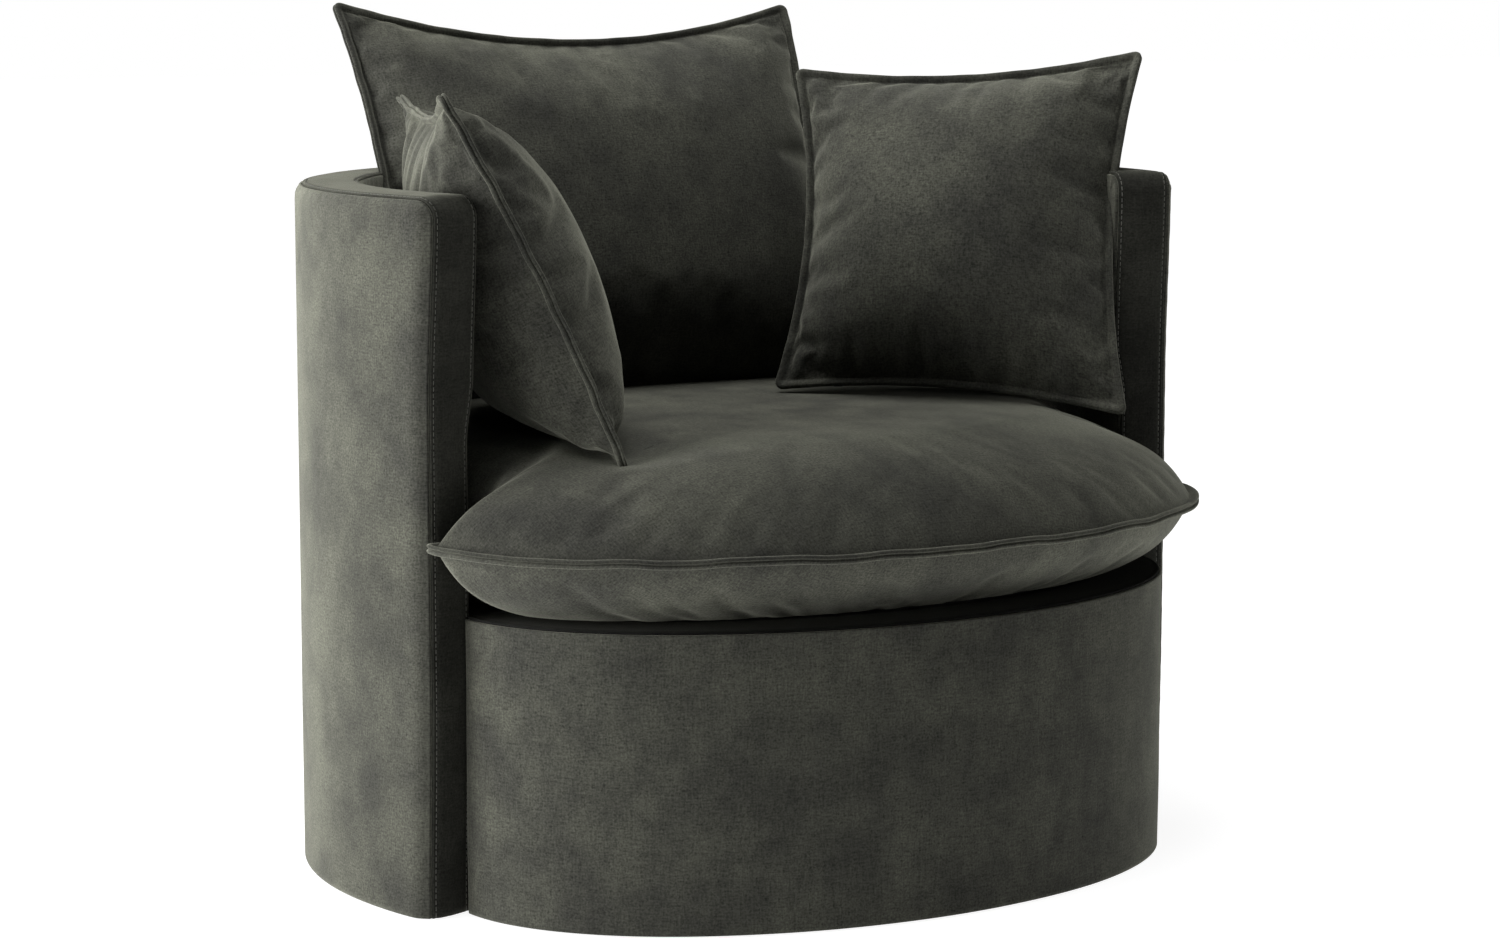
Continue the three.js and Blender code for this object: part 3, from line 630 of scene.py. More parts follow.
@dataclass
class StitchRow:
    """A row of short stitches that lie along a path on the cloth."""

    length: float = 4.6 * MM
    pitch: float = 6.6 * MM
    radius: float = 0.45 * MM
    sunk: float = 0.15 * MM
    sides: int = 6
    end_shares: tuple[float, ...] = (-1.0, -0.86, 0.86, 1.0)
    girth_shares: tuple[float, ...] = (0.35, 1.0, 1.0, 0.35)

    def add_to(self, mesh: ClothMesh, path: Points, normals: Points) -> None:
        """Adds the stitches along a path.

        Args:
            mesh: The mesh that takes them.
            path: The places along the path.
            normals: The cloth's outward direction at each place.
        """
        travel = travelled(path)
        count = int(travel[-1] / self.pitch)
        middles = (np.arange(count) + 0.5) * travel[-1] / count
        for middle in middles:
            ends = [self.read(path, travel, middle + side * self.length / 2) for side in (-1.0, 1.0)]
            self.add_stitch(mesh, np.array(ends), unit(self.read(normals, travel, middle)))

    @staticmethod
    def read(values: Points, travel: Points, where: float) -> Points:
        """Reads a row of values at a distance along the path."""
        return np.array([np.interp(where, travel, values[:, axis]) for axis in range(3)])

    def add_stitch(self, mesh: ClothMesh, ends: Points, normal: Points) -> None:
        """Adds one stitch between two ends."""
        along = (ends[1] - ends[0]) / 2
        across = unit(np.cross(along, normal))
        middle = ends.mean(axis=0) + normal * (self.radius - self.sunk)
        turns = np.linspace(0.0, 2.0 * math.pi, self.sides + 1)
        ring = np.cos(turns)[:, None] * across + np.sin(turns)[:, None] * normal
        shares = zip(self.end_shares, self.girth_shares)
        rows = [middle + along * end + ring * (self.radius * girth) for end, girth in shares]
        caps = [np.repeat(row.mean(axis=0)[None], self.sides + 1, axis=0) for row in (rows[0], rows[-1])]
        points = np.array([caps[0], *rows, caps[1]])
        mesh.add_grid(points, points[..., :2])


# Wall


@dataclass(frozen=True)
class WallPlan:
    """The wall seen from above: two arcs round one axis, open at the front."""

    outer_radius: float
    inner_radius: float
    centre_y: float
    half_angle: float = math.radians(107.0)

    @property
    def middle_radius(self) -> float:
        """The radius along which the wall's length is measured."""
        return (self.outer_radius + self.inner_radius) / 2

    def arc(self, radius: float, count: int) -> Points:
        """Follows the wall round at a radius, from the arm on the +X side to the other, in plan."""
        turns = np.linspace(self.half_angle, -self.half_angle, count)
        return np.stack([radius * np.sin(turns), self.centre_y + radius * np.cos(turns)], axis=-1)


@dataclass(frozen=True)
class WallFace:
    """One side of the wall and the rounded edge between it and the rim."""

    name: str
    radius: float
    outward: float
    phase: float
    top_round: float
    arm_round: float
    seam_share: float
    swell: float = 0.0

    @property
    def seam_turn(self) -> float:
        """How far round the edge, from the face, its seam lies."""
        return self.seam_share * math.pi / 2


@dataclass
class RoundWall:
    """The upholstered wall that stands round the seat, with its two open arm fronts."""

    plan: WallPlan
    height: float
    hem: float
    inner_foot: float
    seat_height: float
    corner_radius: float = 24.0 * MM
    lean_forward: float = 9.0 * MM
    lean_reach: float = 230.0 * MM
    foot_setback: float = 4.0 * MM
    band_reach: float = 40.0 * MM
    ring_step: float = 0.7 * MM
    ring_growth: float = 1.28
    strip_steps: tuple[float, ...] = tuple(
        step * MM for step in (0.0, 0.7, 1.3, 2.0, 2.8, 3.6, 4.3, 4.9, 5.5, 6.2, 7.2, 8.8, 11.0, 14.0)
    )
    strip_crown: float = 1.6 * MM
    unevenness: float = 0.7 * MM
    uneven_wavelengths: tuple[float, float] = (0.37, 0.29)
    uneven_slant: float = 0.3
    even_edge: float = 0.08
    swell_rise: float = 70.0 * MM
    swell_start: float = math.radians(28.0)
    swell_full: float = math.radians(55.0)
    rise_steps: int = 110
    corner_steps: int = 12
    top_steps: int = 320
    hem_width: float = 58.0 * MM
    hem_clearance: float = 1.0 * MM
    seam: Seam = field(default_factory=Seam)

    @property
    def outer(self) -> WallFace:
        """The outside, with a softly rounded edge."""
        return WallFace(
            name="wall_outer_cover",
            radius=self.plan.outer_radius,
            outward=1.0,
            phase=0.6,
            top_round=17.0 * MM,
            arm_round=23.0 * MM,
            seam_share=0.62,
        )

    @property
    def inner(self) -> WallFace:
        """The inside, with a tighter edge and padding that swells above the seat."""
        return WallFace(
            name="wall_inner_cover",
            radius=self.plan.inner_radius,
            outward=-1.0,
            phase=1.9,
            top_round=9.0 * MM,
            arm_round=9.0 * MM,
            seam_share=0.5,
            swell=9.0 * MM,
        )

    def place(self, radius: Points, along: Points, height: Points) -> Points:
        """Places points on the wall.

        Args:
            radius: Distances from the wall's axis.
            along: Distances from the middle of the back, along the middle radius.
            height: Heights over the floor.

        Returns:
            The places.
        """
        angle = along / self.plan.middle_radius
        y = self.plan.centre_y + radius * np.cos(angle)
        return np.stack([radius * np.sin(angle), y, height + 0.0 * along], axis=-1)

    def face_radius(self, face: WallFace, along: Points, height: Points) -> Points:
        """The radius of a side of the wall, with the swell of its padding above the seat."""
        from_start = np.abs(along / self.plan.middle_radius) - self.swell_start
        turn = from_start / (self.swell_full - self.swell_start)
        rise = (height - self.seat_height) / self.swell_rise
        return face.radius + face.outward * face.swell * smooth_step(turn) * smooth_step(rise)

    def front_reach(self, height: Points) -> Points:
        """How far along the wall its arms reach: a little further forward at the top than at the foot."""
        top_share = smooth_step((height - self.height + self.lean_reach) / self.lean_reach)
        foot_share = 1.0 - smooth_step(height / self.lean_reach)
        lean = self.lean_forward * top_share - self.foot_setback * foot_share
        return self.plan.half_angle * self.plan.middle_radius + lean

    def corner_share(self) -> Points:
        """How far each station along the rim has turned from the arm's front (0) to the top (1)."""
        turns = np.linspace(0.0, 1.0, self.corner_steps + 1)[1:]
        half = np.concatenate([np.zeros(self.rise_steps), turns])
        return np.concatenate([half, np.ones(self.top_steps - 2), half[::-1]])

    def rim_path(self, foot: float, arm_depth: float, top_depth: float) -> tuple[Points, Points]:
        """Follows the rim from one arm's foot over the top to the other's, at a depth below it.

        Args:
            foot: The height at which the path starts and ends.
            arm_depth: How far behind the arms' fronts it runs.
            top_depth: How far below the top it runs.

        Returns:
            Distances along the wall and heights over the floor.
        """
        corner = max(self.corner_radius - max(arm_depth, top_depth), 0.0)
        corner_height = self.height - top_depth - corner
        turns = np.linspace(0.0, math.pi / 2, self.corner_steps + 1)[1:]
        rise = np.linspace(foot, corner_height, self.rise_steps)
        reach = self.front_reach(rise) - arm_depth
        corner_along = reach[-1] - corner
        along = np.concatenate([reach, corner_along + corner * np.cos(turns)])
        height = np.concatenate([rise, corner_height + corner * np.sin(turns)])
        across = np.linspace(corner_along, -corner_along, self.top_steps)[1:-1]
        along = np.concatenate([along, across, -along[::-1]])
        height = np.concatenate([height, np.full(self.top_steps - 2, self.height - top_depth), height[::-1]])
        return along, height

    def rounding(self, face: WallFace) -> Points:
        """The radius of the rounded edge at each station along the rim."""
        return face.arm_round + (face.top_round - face.arm_round) * smooth_step(self.corner_share())

    def edge(self, away: float, lift: Points, face: WallFace, onto_strip: bool) -> tuple[Points, Points]:
        """Follows the rounded edge away from its seam.

        Args:
            away: The distance from the seam along the cloth.
            lift: How far the cloth stands over the plain shape.
            face: The side of the wall.
            onto_strip: Whether this side of the seam is the strip or the wall's face.

        Returns:
            How far the cloth is set in from the wall's face, and its depth below the rim.
        """
        rounding = self.rounding(face)
        turn = away / rounding
        angle = np.clip(face.seam_turn + (turn if onto_strip else -turn), 0.0, math.pi / 2)
        bend = math.pi / 2 - face.seam_turn if onto_strip else face.seam_turn
        beyond = np.maximum(away - rounding * bend, 0.0)
        inset = rounding - (rounding + lift) * np.cos(angle)
        depth = rounding - (rounding + lift) * np.sin(angle)
        return (inset + beyond, depth) if onto_strip else (inset, depth + beyond)

    def puckers(self, away: float, phase: float) -> Points:
        """Small puckers beside a seam, stronger at the rim's corners."""
        seam = self.seam
        travel = travelled(np.stack(self.rim_path(self.hem, 0.0, 0.0), axis=-1))
        wave = uneven(travel, seam.pucker_wavelength, phase)
        at_corner = bell(self.corner_share() - 0.5, 0.5) ** 3.0
        reach = bell(away - seam.pucker_away, seam.pucker_reach)
        return seam.pucker * (1.0 + seam.corner_pucker * at_corner) * wave * reach

    def ring(self, away: float, face: WallFace, onto_strip: bool) -> tuple[Points, Points, Points]:
        """Follows the rim at a distance from the seam along the cloth.

        Args:
            away: The distance from the seam.
            face: The side of the wall.
            onto_strip: Whether the ring lies on the strip or on the wall's face.

        Returns:
            The radius, the distance along the wall and the height at each station.
        """
        width = self.plan.outer_radius - self.plan.inner_radius
        crown = self.strip_crown * smooth_step(np.array(away / width * 2)) if onto_strip else 0.0
        puckers = self.puckers(away, face.phase + 2.0 * onto_strip)
        lift = self.seam.lift(np.array(away), onto_strip) + crown + puckers
        inset, depth = self.edge(away, lift, face, onto_strip)
        middle = len(depth) // 2
        foot = self.hem if face.outward > 0 or onto_strip else self.inner_foot
        along, height = self.rim_path(foot, float(depth[0]), float(depth[middle]))
        return self.face_radius(face, along, height) - face.outward * inset, along, height

    def face_panel(self, face: WallFace) -> bpy.types.Object:
        """Makes the cover of the wall's outside or inside.

        Args:
            face: The side of the wall.

        Returns:
            The panel, as thick as the cloth.
        """
        mesh = ClothMesh(face.phase)
        aways = graded(self.band_reach, self.ring_step, self.ring_growth)
        rings = [self.ring(away, face, False) for away in aways]
        points = np.array([self.place(*ring) for ring in rings])
        cloth = np.array([np.stack(ring[1:], axis=-1) for ring in rings])
        flipped = face.outward > 0
        mesh.add_grid(points, cloth, flipped)
        _, along, height = rings[-1]
        rows = height[: self.rise_steps]
        ends = self.rise_steps + self.corner_steps - 1
        columns = along[ends : len(along) - ends]
        shares, rise = np.meshgrid(columns / columns[0], rows)
        sweep = shares * along[: self.rise_steps, None]
        from_side = smooth_step((columns[0] - np.abs(sweep)) / self.even_edge)
        from_top = smooth_step((rows[-1] - rise) / self.even_edge)
        long_wave, tall_wave = self.uneven_wavelengths
        waves = uneven(sweep + self.uneven_slant * rise, long_wave, face.phase) * uneven(rise, tall_wave, 1.0)
        swell = self.unevenness * from_side * from_top * waves
        radius = self.face_radius(face, sweep, rise) + face.outward * swell
        mesh.add_grid(self.place(radius, sweep, rise), np.stack([sweep, rise], axis=-1), not flipped)
        return mesh.sheet(face.name)

    def strip(self) -> bpy.types.Object:
        """Makes the strip that runs up one arm's front, over the top and down the other's."""
        outer = self.outer
        to_seam = outer.top_round * (1.0 - math.pi / 2 + outer.seam_turn)
        reach = outer.radius - self.plan.middle_radius - to_seam
        rings = [self.ring(away, outer, True) for away in (*self.strip_steps, reach)]
        rings += [self.ring(away, self.inner, True) for away in self.strip_steps[::-1]]
        points = np.array([self.place(*ring) for ring in rings])
        travel = travelled(np.stack(self.rim_path(self.hem, 0.0, 0.0), axis=-1))
        across = travelled(points[:, len(travel) // 2])
        cloth = np.stack(np.meshgrid(across, travel, indexing="ij"), axis=-1)
        return single_sheet("rim_strip", 3.7, points, cloth, False)

    def topstitches(self) -> bpy.types.Object:
        """Makes the rows of stitches along both edges of the strip."""
        mesh = ClothMesh(0.0)
        half = self.seam.topstitch_width
        for face in (self.outer, self.inner):
            aways = (self.seam.topstitch + shift for shift in (-half, 0.0, half))
            before, path, after = (self.place(*self.ring(away, face, True)) for away in aways)
            normals = np.cross(np.gradient(path, axis=0), after - before) * face.outward
            StitchRow().add_to(mesh, path, unit(normals))
        return mesh.build("rim_topstitches")

    def turned_hem(self) -> bpy.types.Object:
        """Makes the velvet that is turned in under the wall's foot, inside the arms' rounded corners."""
        limit = float(self.front_reach(np.array(self.hem))) - self.hem_clearance
        along = np.linspace(limit, -limit, self.top_steps)
        rounding = self.outer.arm_round
        from_round = rounding - np.clip(limit - np.abs(along), 0.0, rounding)
        corner = rounding - np.sqrt(rounding**2 - from_round**2)
        edge = self.plan.outer_radius - self.hem_clearance - np.minimum(corner, self.hem_width / 2)
        spread = np.array([along, along])
        reach = np.array([edge, np.full_like(along, self.plan.outer_radius - self.hem_width)])
        points = self.place(reach, spread, np.full_like(spread, self.hem))
        return single_sheet("wall_hem", 5.1, points, np.stack([spread, reach], axis=-1), True)


# Plinth


@dataclass
class Plinth:
    """The bowed front under the seat cushion and the deck behind its top edge."""

    half_width: float
    depth: float
    back_y: float
    top: float
    hem: float
    deck_radius: float
    plan: WallPlan
    edge_round: float = 7.0 * MM
    end_turn: float = 3.0 * MM
    end_reach: float = 7.0 * MM
    border_width: float = 75.0 * MM
    fine_reach: float = 30.0 * MM
    unevenness: float = 0.8 * MM
    uneven_wavelengths: tuple[float, float] = (0.31, 0.23)
    even_edge: float = 0.05
    lining_lap: float = 1.0 * MM
    lining_drop: float = 1.2 * MM
    lining_sag: float = 3.0 * MM
    lining_thickness: float = 1.2 * MM
    lining_rings: int = 24
    first_step: float = 0.7 * MM
    front_growth: float = 1.25
    border_growth: float = 1.3
    columns: int = 300
    rows: int = 70
    seam: Seam = field(default_factory=Seam)

    def turns(self) -> Points:
        """Angles along the bow, from one arm to the other."""
        return np.linspace(-math.pi / 2, math.pi / 2, self.columns)

    def place(self, inset: Points, turn: Points, height: Points) -> Points:
        """Places points on the bow, set in from its face."""
        x = (self.half_width - inset) * np.sin(turn)
        y = self.back_y - (self.depth - inset) * np.cos(turn)
        return np.stack([x, y, height + 0.0 * turn], axis=-1)

    def end_inset(self, turn: Points) -> Points:
        """Turns the cloth in where it meets the arms."""
        to_end = (math.pi / 2 - np.abs(turn)) * (self.half_width + self.depth) / 2
        return self.end_turn * (1.0 - np.sqrt(np.clip(to_end / self.end_reach, 0.0, 1.0)))

    def grid(self, insets: Points, heights: Points) -> tuple[Points, Points]:
        """Makes a grid of places from insets and heights by row, and its cloth coordinates."""
        turn = self.turns()
        ends = self.end_inset(turn)
        level = np.ones_like(turn)
        rows = [self.place(inset + ends, turn, height * level) for inset, height in zip(insets, heights)]
        along = travelled(self.place(0.0 * turn, turn, np.zeros(self.columns)))
        down = travelled(np.stack([insets, heights], axis=-1))
        return np.array(rows), np.stack(np.meshgrid(along, down), axis=-1)

    def edge(self, away: Points, lift: Points, side: float) -> tuple[Points, Points, Points]:
        """Follows the rounded top edge away from its seam, which lies in the middle of the rounding.

        Args:
            away: The distances from the seam along the cloth.
            lift: How far the cloth stands over the plain shape.
            side: 1 on the deck's side of the seam and -1 on the front's.

        Returns:
            How far the cloth is set in, its depth below the top, and how far it runs on past the rounding.
        """
        angle = np.clip(math.pi / 4 + side * away / self.edge_round, 0.0, math.pi / 2)
        beyond = np.maximum(away - self.edge_round * math.pi / 4, 0.0)
        inset = self.edge_round - (self.edge_round + lift) * np.cos(angle)
        return inset, self.edge_round - (self.edge_round + lift) * np.sin(angle), beyond

    def front_panel(self) -> bpy.types.Object:
        """Makes the bowed cover from the floor to the seam at its top edge."""
        away = graded(self.top - self.hem - self.edge_round, self.first_step, self.front_growth)
        coarse = np.linspace(self.fine_reach, away[-1], self.rows)
        away = np.concatenate([away[away < self.fine_reach], coarse])
        insets, depths, beyond = self.edge(away, self.seam.lift(away, False), -1.0)
        heights = self.top - depths - beyond
        heights = self.hem + (heights - heights[-1]) * (heights[0] - self.hem) / (heights[0] - heights[-1])
        points, cloth = self.grid(insets, heights)
        fade = smooth_step(away / self.even_edge)[:, None]
        long_wave, tall_wave = self.uneven_wavelengths
        waves = uneven(cloth[..., 0], long_wave, 0.8) * uneven(cloth[..., 1], tall_wave, 2.1)
        outwards = points - np.array([0.0, self.back_y, 0.0])
        outwards[..., 2] = 0.0
        points += (self.unevenness * fade * waves)[..., None] * unit(outwards)
        return single_sheet("plinth_front_cover", 7.3, points, cloth, True)

    def deck_border(self) -> bpy.types.Object:
        """Makes the velvet border of the deck, inside the seam at the top edge."""
        away = graded(self.border_width, self.first_step, self.border_growth)
        insets, depths, beyond = self.edge(away, self.seam.lift(away, True), 1.0)
        points, cloth = self.grid(insets + beyond, self.top - depths)
        return single_sheet("deck_border", 9.9, points, cloth, False)

    def deck_outline(self) -> Points:
        """Follows the lining's edge: the arc inside the wall and the bow in front of it."""
        front_inset = self.border_width - self.lining_lap
        front = self.place(np.full(self.columns, front_inset), self.turns(), np.zeros(self.columns))[:, :2]
        return closed(np.concatenate([self.plan.arc(self.deck_radius, self.columns), front]))

    def deck_lining(self) -> bpy.types.Object:
        """Makes the lining that covers the deck inside its border, with a slight sag."""
        middle = np.array([0.0, (self.back_y + self.plan.centre_y) / 2])
        outline = self.deck_outline()
        shares = np.linspace(0.0, 1.0, self.lining_rings)
        flat = np.array([outline + (middle - outline) * share for share in shares])
        heights = self.top - self.lining_drop - self.lining_sag * smooth_step(shares * 2.0)
        heights = np.broadcast_to(heights[:, None, None], (*flat.shape[:2], 1))
        points = np.concatenate([flat, heights], axis=-1)
        return single_sheet("deck_lining", 1.3, points, flat, True, self.lining_thickness)


# Cushions


@dataclass(frozen=True)
class Flange:
    """The sewn edge of a cushion: two rolled lips with the seam between them, and a pinch behind them."""

    offsets: tuple[float, ...] = tuple(
        offset * MM for offset in (0.0, 0.6, 1.2, 1.9, 2.8, 4.0, 6.0, 8.2, 9.6, 10.8)
    )
    insets: tuple[float, ...] = tuple(
        inset * MM for inset in (3.2, 1.5, 0.3, 0.0, 0.7, 2.4, 5.0, 7.8, 9.6, 10.8)
    )
    half_thicknesses: tuple[float, ...] = tuple(
        half * MM for half in (0.0, 0.6, 1.6, 2.8, 4.1, 4.9, 4.8, 3.2, 1.6, 1.0)
    )
    pinch_reach: float = 8.0 * MM
    pinch_share: float = 0.5

    @property
    def width(self) -> float:
        """How far the flange stands out from the cushion."""
        return self.offsets[-1]

    def half_thickness(self, away: Points) -> Points:
        """Half the flange's thickness at an offset from its outer edge."""
        return np.interp(away, self.offsets, self.half_thicknesses)

    def pinch(self, inside: Points) -> Points:
        """The share that is left of a panel's rise near the flange, where the seam holds it down."""
        return 1.0 - self.pinch_share * np.exp(-np.maximum(inside, 0.0) / self.pinch_reach)

    def shift(self, away: Points) -> Points:
        """How much further in than its offset a row lies, so that the lips roll over the seam."""
        return np.interp(away, self.offsets, np.array(self.insets) - np.array(self.offsets))


@dataclass(frozen=True)
class Zip:
    """A zip that lies in the seam between a cushion's lips: a row of teeth and a slider."""

    teeth: StitchRow = field(default_factory=lambda: StitchRow(2.0 * MM, 2.8 * MM, 1.6 * MM, 1.0 * MM))
    slider: StitchRow = field(default_factory=lambda: StitchRow(12.0 * MM, 12.0 * MM, 2.8 * MM, 1.4 * MM))

    def build(self, name: str, path: Points, normals: Points) -> bpy.types.Object:
        """Makes the zip along a path.

        Args:
            name: The new piece's name.
            path: The places along the seam.
            normals: The outward direction at each place.

        Returns:
            The zip.
        """
        mesh = ClothMesh(0.0)
        self.teeth.add_to(mesh, path, normals)
        reach = unit(path[1] - path[0]) * self.slider.length
        self.slider.add_stitch(mesh, np.array([path[0] - reach, path[0]]), normals[0])
        return mesh.build(name)


@dataclass(frozen=True)
class Stuffing:
    """How a cushion's panels swell under the push of the filling."""

    pressure: float = 4.0
    growth: float = 0.02
    cap: float = 14.0 * MM
    frames: int = 20
    bending: float = 0.6
    tension: float = 15.0
    quality: int = 5
    mass: float = 0.25
    damping: float = 4.0

    def fill(self, piece: bpy.types.Object, held: float) -> None:
        """Swells a cushion, all but its edge up to a held depth."""
        set_coordinates(piece, self.swell(piece, within(piece, held)))

    def swell(self, piece: bpy.types.Object, pinned: Points) -> Points:
        """Runs the cloth simulation on a piece.

        Args:
            piece: The cushion, in place.
            pinned: The numbers of the vertices that stay where they are.

        Returns:
            The places of the vertices afterwards, moved no further than the cap.
        """
        before = coordinates(piece)
        group = piece.vertex_groups.new(name="seam")
        group.add([int(number) for number in pinned], 1.0, "REPLACE")
        cloth = piece.modifiers.new("stuffing", "CLOTH")
        settings = cloth.settings
        settings.quality = self.quality
        settings.mass = self.mass
        settings.tension_stiffness = self.tension
        settings.compression_stiffness = self.tension
        settings.shear_stiffness = self.tension / 3
        settings.bending_stiffness = self.bending
        settings.air_damping = self.damping
        settings.use_pressure = True
        settings.uniform_pressure_force = self.pressure
        settings.shrink_min = -self.growth
        settings.vertex_group_mass = group.name
        settings.effector_weights.gravity = 0.0
        cloth.point_cache.frame_start = 1
        cloth.point_cache.frame_end = self.frames
        scene = bpy.context.scene
        for number in range(1, self.frames + 1):
            scene.frame_set(number)
        graph = bpy.context.evaluated_depsgraph_get()
        swollen = piece.evaluated_get(graph)
        after = np.zeros(len(swollen.data.vertices) * 3)
        swollen.data.vertices.foreach_get("co", after)
        piece.modifiers.clear()
        piece.vertex_groups.clear()
        scene.frame_set(1)
        move = after.reshape(-1, 3) - before
        reach = np.linalg.norm(move, axis=1)
        share = np.minimum(1.0, self.cap / np.maximum(reach, TINY))
        return before + move * share[:, None]


@dataclass(frozen=True)
class Fold:
    """A crease or ridge on a pillow, along a line given as shares of its half sizes."""

    start_share: tuple[float, float]
    end_share: tuple[float, float]
    height: float
    width: float
    blunt_end: float = 0.02
    taper: float = 0.6

    def lift(self, across: Points, up: Points, half_width: float, half_height: float) -> Points:
        """Gives the fold's height at each place on a panel."""
        start = np.array(self.start_share) * (half_width, half_height)
        end = np.array(self.end_share) * (half_width, half_height)
        line = end - start
        length = np.linalg.norm(line)
        from_start = np.stack([across, up], axis=-1) - start
        along = np.clip(from_start @ line / length, 0.0, length)
        away = np.linalg.norm(from_start - along[..., None] * line / length, axis=-1)
        ends = np.sin(math.pi * np.clip(along / length, self.blunt_end, 1.0 - self.blunt_end)) ** self.taper
        return self.height * ends * bell(away, self.width)


@dataclass
class Pillow:
    """A loose cushion of two panels sewn together at a flange, which leans in the chair."""

    name: str
    width: float
    height: float
    crown: float
    draw_top: float
    draw_bottom: float
    draw_side: float
    yaw: float
    lean: float
    roll: float
    nudge: tuple[float, float, float] = (0.0, 0.0, 0.0)
    side_bend: float = 0.0
    foot_lifts: tuple[float, float] = (0.0, 0.0)
    top_drops: tuple[float, float] = (0.0, 0.0)
    pucker: float = 2.4 * MM
    pucker_wavelength: float = 54.0 * MM
    pucker_reach: float = 42.0 * MM
    corner_round: float = 13.0 * MM
    seam_wave: float = 1.2 * MM
    seam_wavelength: float = 110.0 * MM
    seam_fade: float = 20.0 * MM
    fold_fade: float = 9.0 * MM
    held_slack: float = 0.2 * MM
    crowding: float = 0.86
    slumps: tuple[float, float] = (0.12, 0.12)
    fullness: tuple[float, float] = (1.0, 1.0)
    roundness: float = 0.5
    zip_share: float = 0.6
    zip_points: int = 60
    phase: float = 0.0
    cells: int = 66
    fill: float = 0.7
    folds: tuple[Fold, ...] = ()
    stuffing: Stuffing = field(default_factory=Stuffing)
    flange: Flange = field(default_factory=Flange)

    def cuts(self, length: float) -> tuple[Points, Points]:
        """Cuts a side of the cushion into columns or rows.

        Args:
            length: The side's length, with the flanges.

        Returns:
            Shares of the half length from -1 to 1, and the distance of each from the nearer edge.
        """
        turns = np.linspace(-1.0, 1.0, self.cells)
        inner_half = length / 2 - self.flange.width
        crowding = self.crowding
        inner = np.sin(turns * math.pi / 2 * crowding) / math.sin(math.pi / 2 * crowding) * inner_half
        offsets = np.array(self.flange.offsets[:-1])
        places = np.concatenate([offsets - length / 2, inner, (length / 2 - offsets)[::-1]])
        return places / (length / 2), length / 2 - np.abs(places)

    def blunted(self, across: Points, up: Points) -> tuple[Points, Points]:
        """Rounds the corners of the sheet and returns the shares across and up it."""
        half = np.array([self.width / 2, self.height / 2])
        flat = np.stack([across, up], axis=-1) * half
        straight = half - self.corner_round
        beyond = np.maximum(np.abs(flat) - straight, 0.0)
        scale = beyond.max(axis=-1) / np.maximum(np.linalg.norm(beyond, axis=-1), TINY)
        rounded = np.sign(flat) * (np.minimum(np.abs(flat), straight) + beyond * scale[..., None]) / half
        return rounded[..., 0], rounded[..., 1]

    def middle_sheet(self, across: Points, up: Points) -> Points:
        """Places points on the cushion's middle sheet.

        Args:
            across: Shares from -1 to 1 across it.
            up: Shares from -1 to 1 up it.

        Returns:
            The places, with -Y towards the front.
        """
        across, up = self.blunted(across, up)
        draw_end = np.where(up > 0.0, self.draw_top, self.draw_bottom)
        right = (1.0 + across) / 2
        high = (1.0 + up) / 2
        lift = (self.foot_lifts[0] * (1.0 - right) + self.foot_lifts[1] * right) * (1.0 - high)
        drop = (self.top_drops[0] * (1.0 - right) + self.top_drops[1] * right) * high
        return np.stack([
            across * (self.width / 2 - self.draw_side * (1.0 - up * up)),
            -self.side_bend * across * across * (1.0 - up * up),
            up * (self.height / 2 - draw_end * (1.0 - across * across)) + lift - drop,
        ], axis=-1)

    def rise(self, across: Points, up: Points, panel: int) -> Points:
        """How far a panel stands out from the middle sheet inside the flange.

        Args:
            across: Shares from -1 to 1 across it.
            up: Shares from -1 to 1 up it.
            panel: 0 for the front panel and 1 for the back one.

        Returns:
            The distance at each place.
        """
        wide = np.clip(np.abs(across) / (1.0 - 2.0 * self.flange.width / self.width), 0.0, 1.0)
        tall = np.clip(np.abs(up) / (1.0 - 2.0 * self.flange.width / self.height), 0.0, 1.0)
        inside = np.minimum((1.0 - wide) * self.width, (1.0 - tall) * self.height) / 2.0
        share = self.fullness[panel] * (1.0 - self.slumps[panel] * up) * self.flange.pinch(inside)
        return self.crown * share * ((1.0 - wide * wide) * (1.0 - tall * tall)) ** self.roundness

    def puckering(self, across: Points, up: Points, side: float) -> Points:
        """The puckers beside the seam and the folds, on one side of the cushion."""
        half_width, half_height = self.width / 2, self.height / 2
        from_side = (1.0 - np.abs(across)) * self.width / 2 - self.flange.width
        from_end = (1.0 - np.abs(up)) * self.height / 2 - self.flange.width
        wavelength = self.pucker_wavelength
        along_side = uneven(up * self.height / 2, wavelength, self.phase + side + np.sign(across))
        along_end = uneven(across * self.width / 2, wavelength, self.phase - side + 3.0 * np.sign(up))
        side_reach = np.exp(-np.clip(from_side, 0.0, None) / self.pucker_reach)
        end_reach = np.exp(-np.clip(from_end, 0.0, None) / self.pucker_reach)
        inside = smooth_step(np.minimum(from_side, from_end) / self.fold_fade)
        total = self.pucker * (along_side * side_reach + along_end * end_reach) * inside
        for fold in self.folds:
            lift = fold.lift(across * self.width / 2, up * self.height / 2, half_width, half_height)
            total = total + lift * inside
        return total

    def seam_shift(self, across: Points, up: Points) -> Points:
        """How far the seam wanders from the middle sheet."""
        return self.seam_wave * uneven((across - up) * self.width, self.seam_wavelength, self.phase)

    def zip_line(self) -> tuple[Points, Points]:
        """Follows the seam at the cushion's foot and gives its places and outward directions."""
        across = np.linspace(-self.zip_share, self.zip_share, self.zip_points)
        up = np.full_like(across, 2.0 * self.flange.insets[0] / self.height - 1.0)
        sheet = self.middle_sheet(across, up)
        sheet[:, 1] += self.seam_shift(across, up)
        turn = np.array(self.placing())
        outwards = np.tile([0.0, 0.0, -1.0], (len(across), 1))
        return sheet @ turn.T + self.origin(), outwards @ turn.T

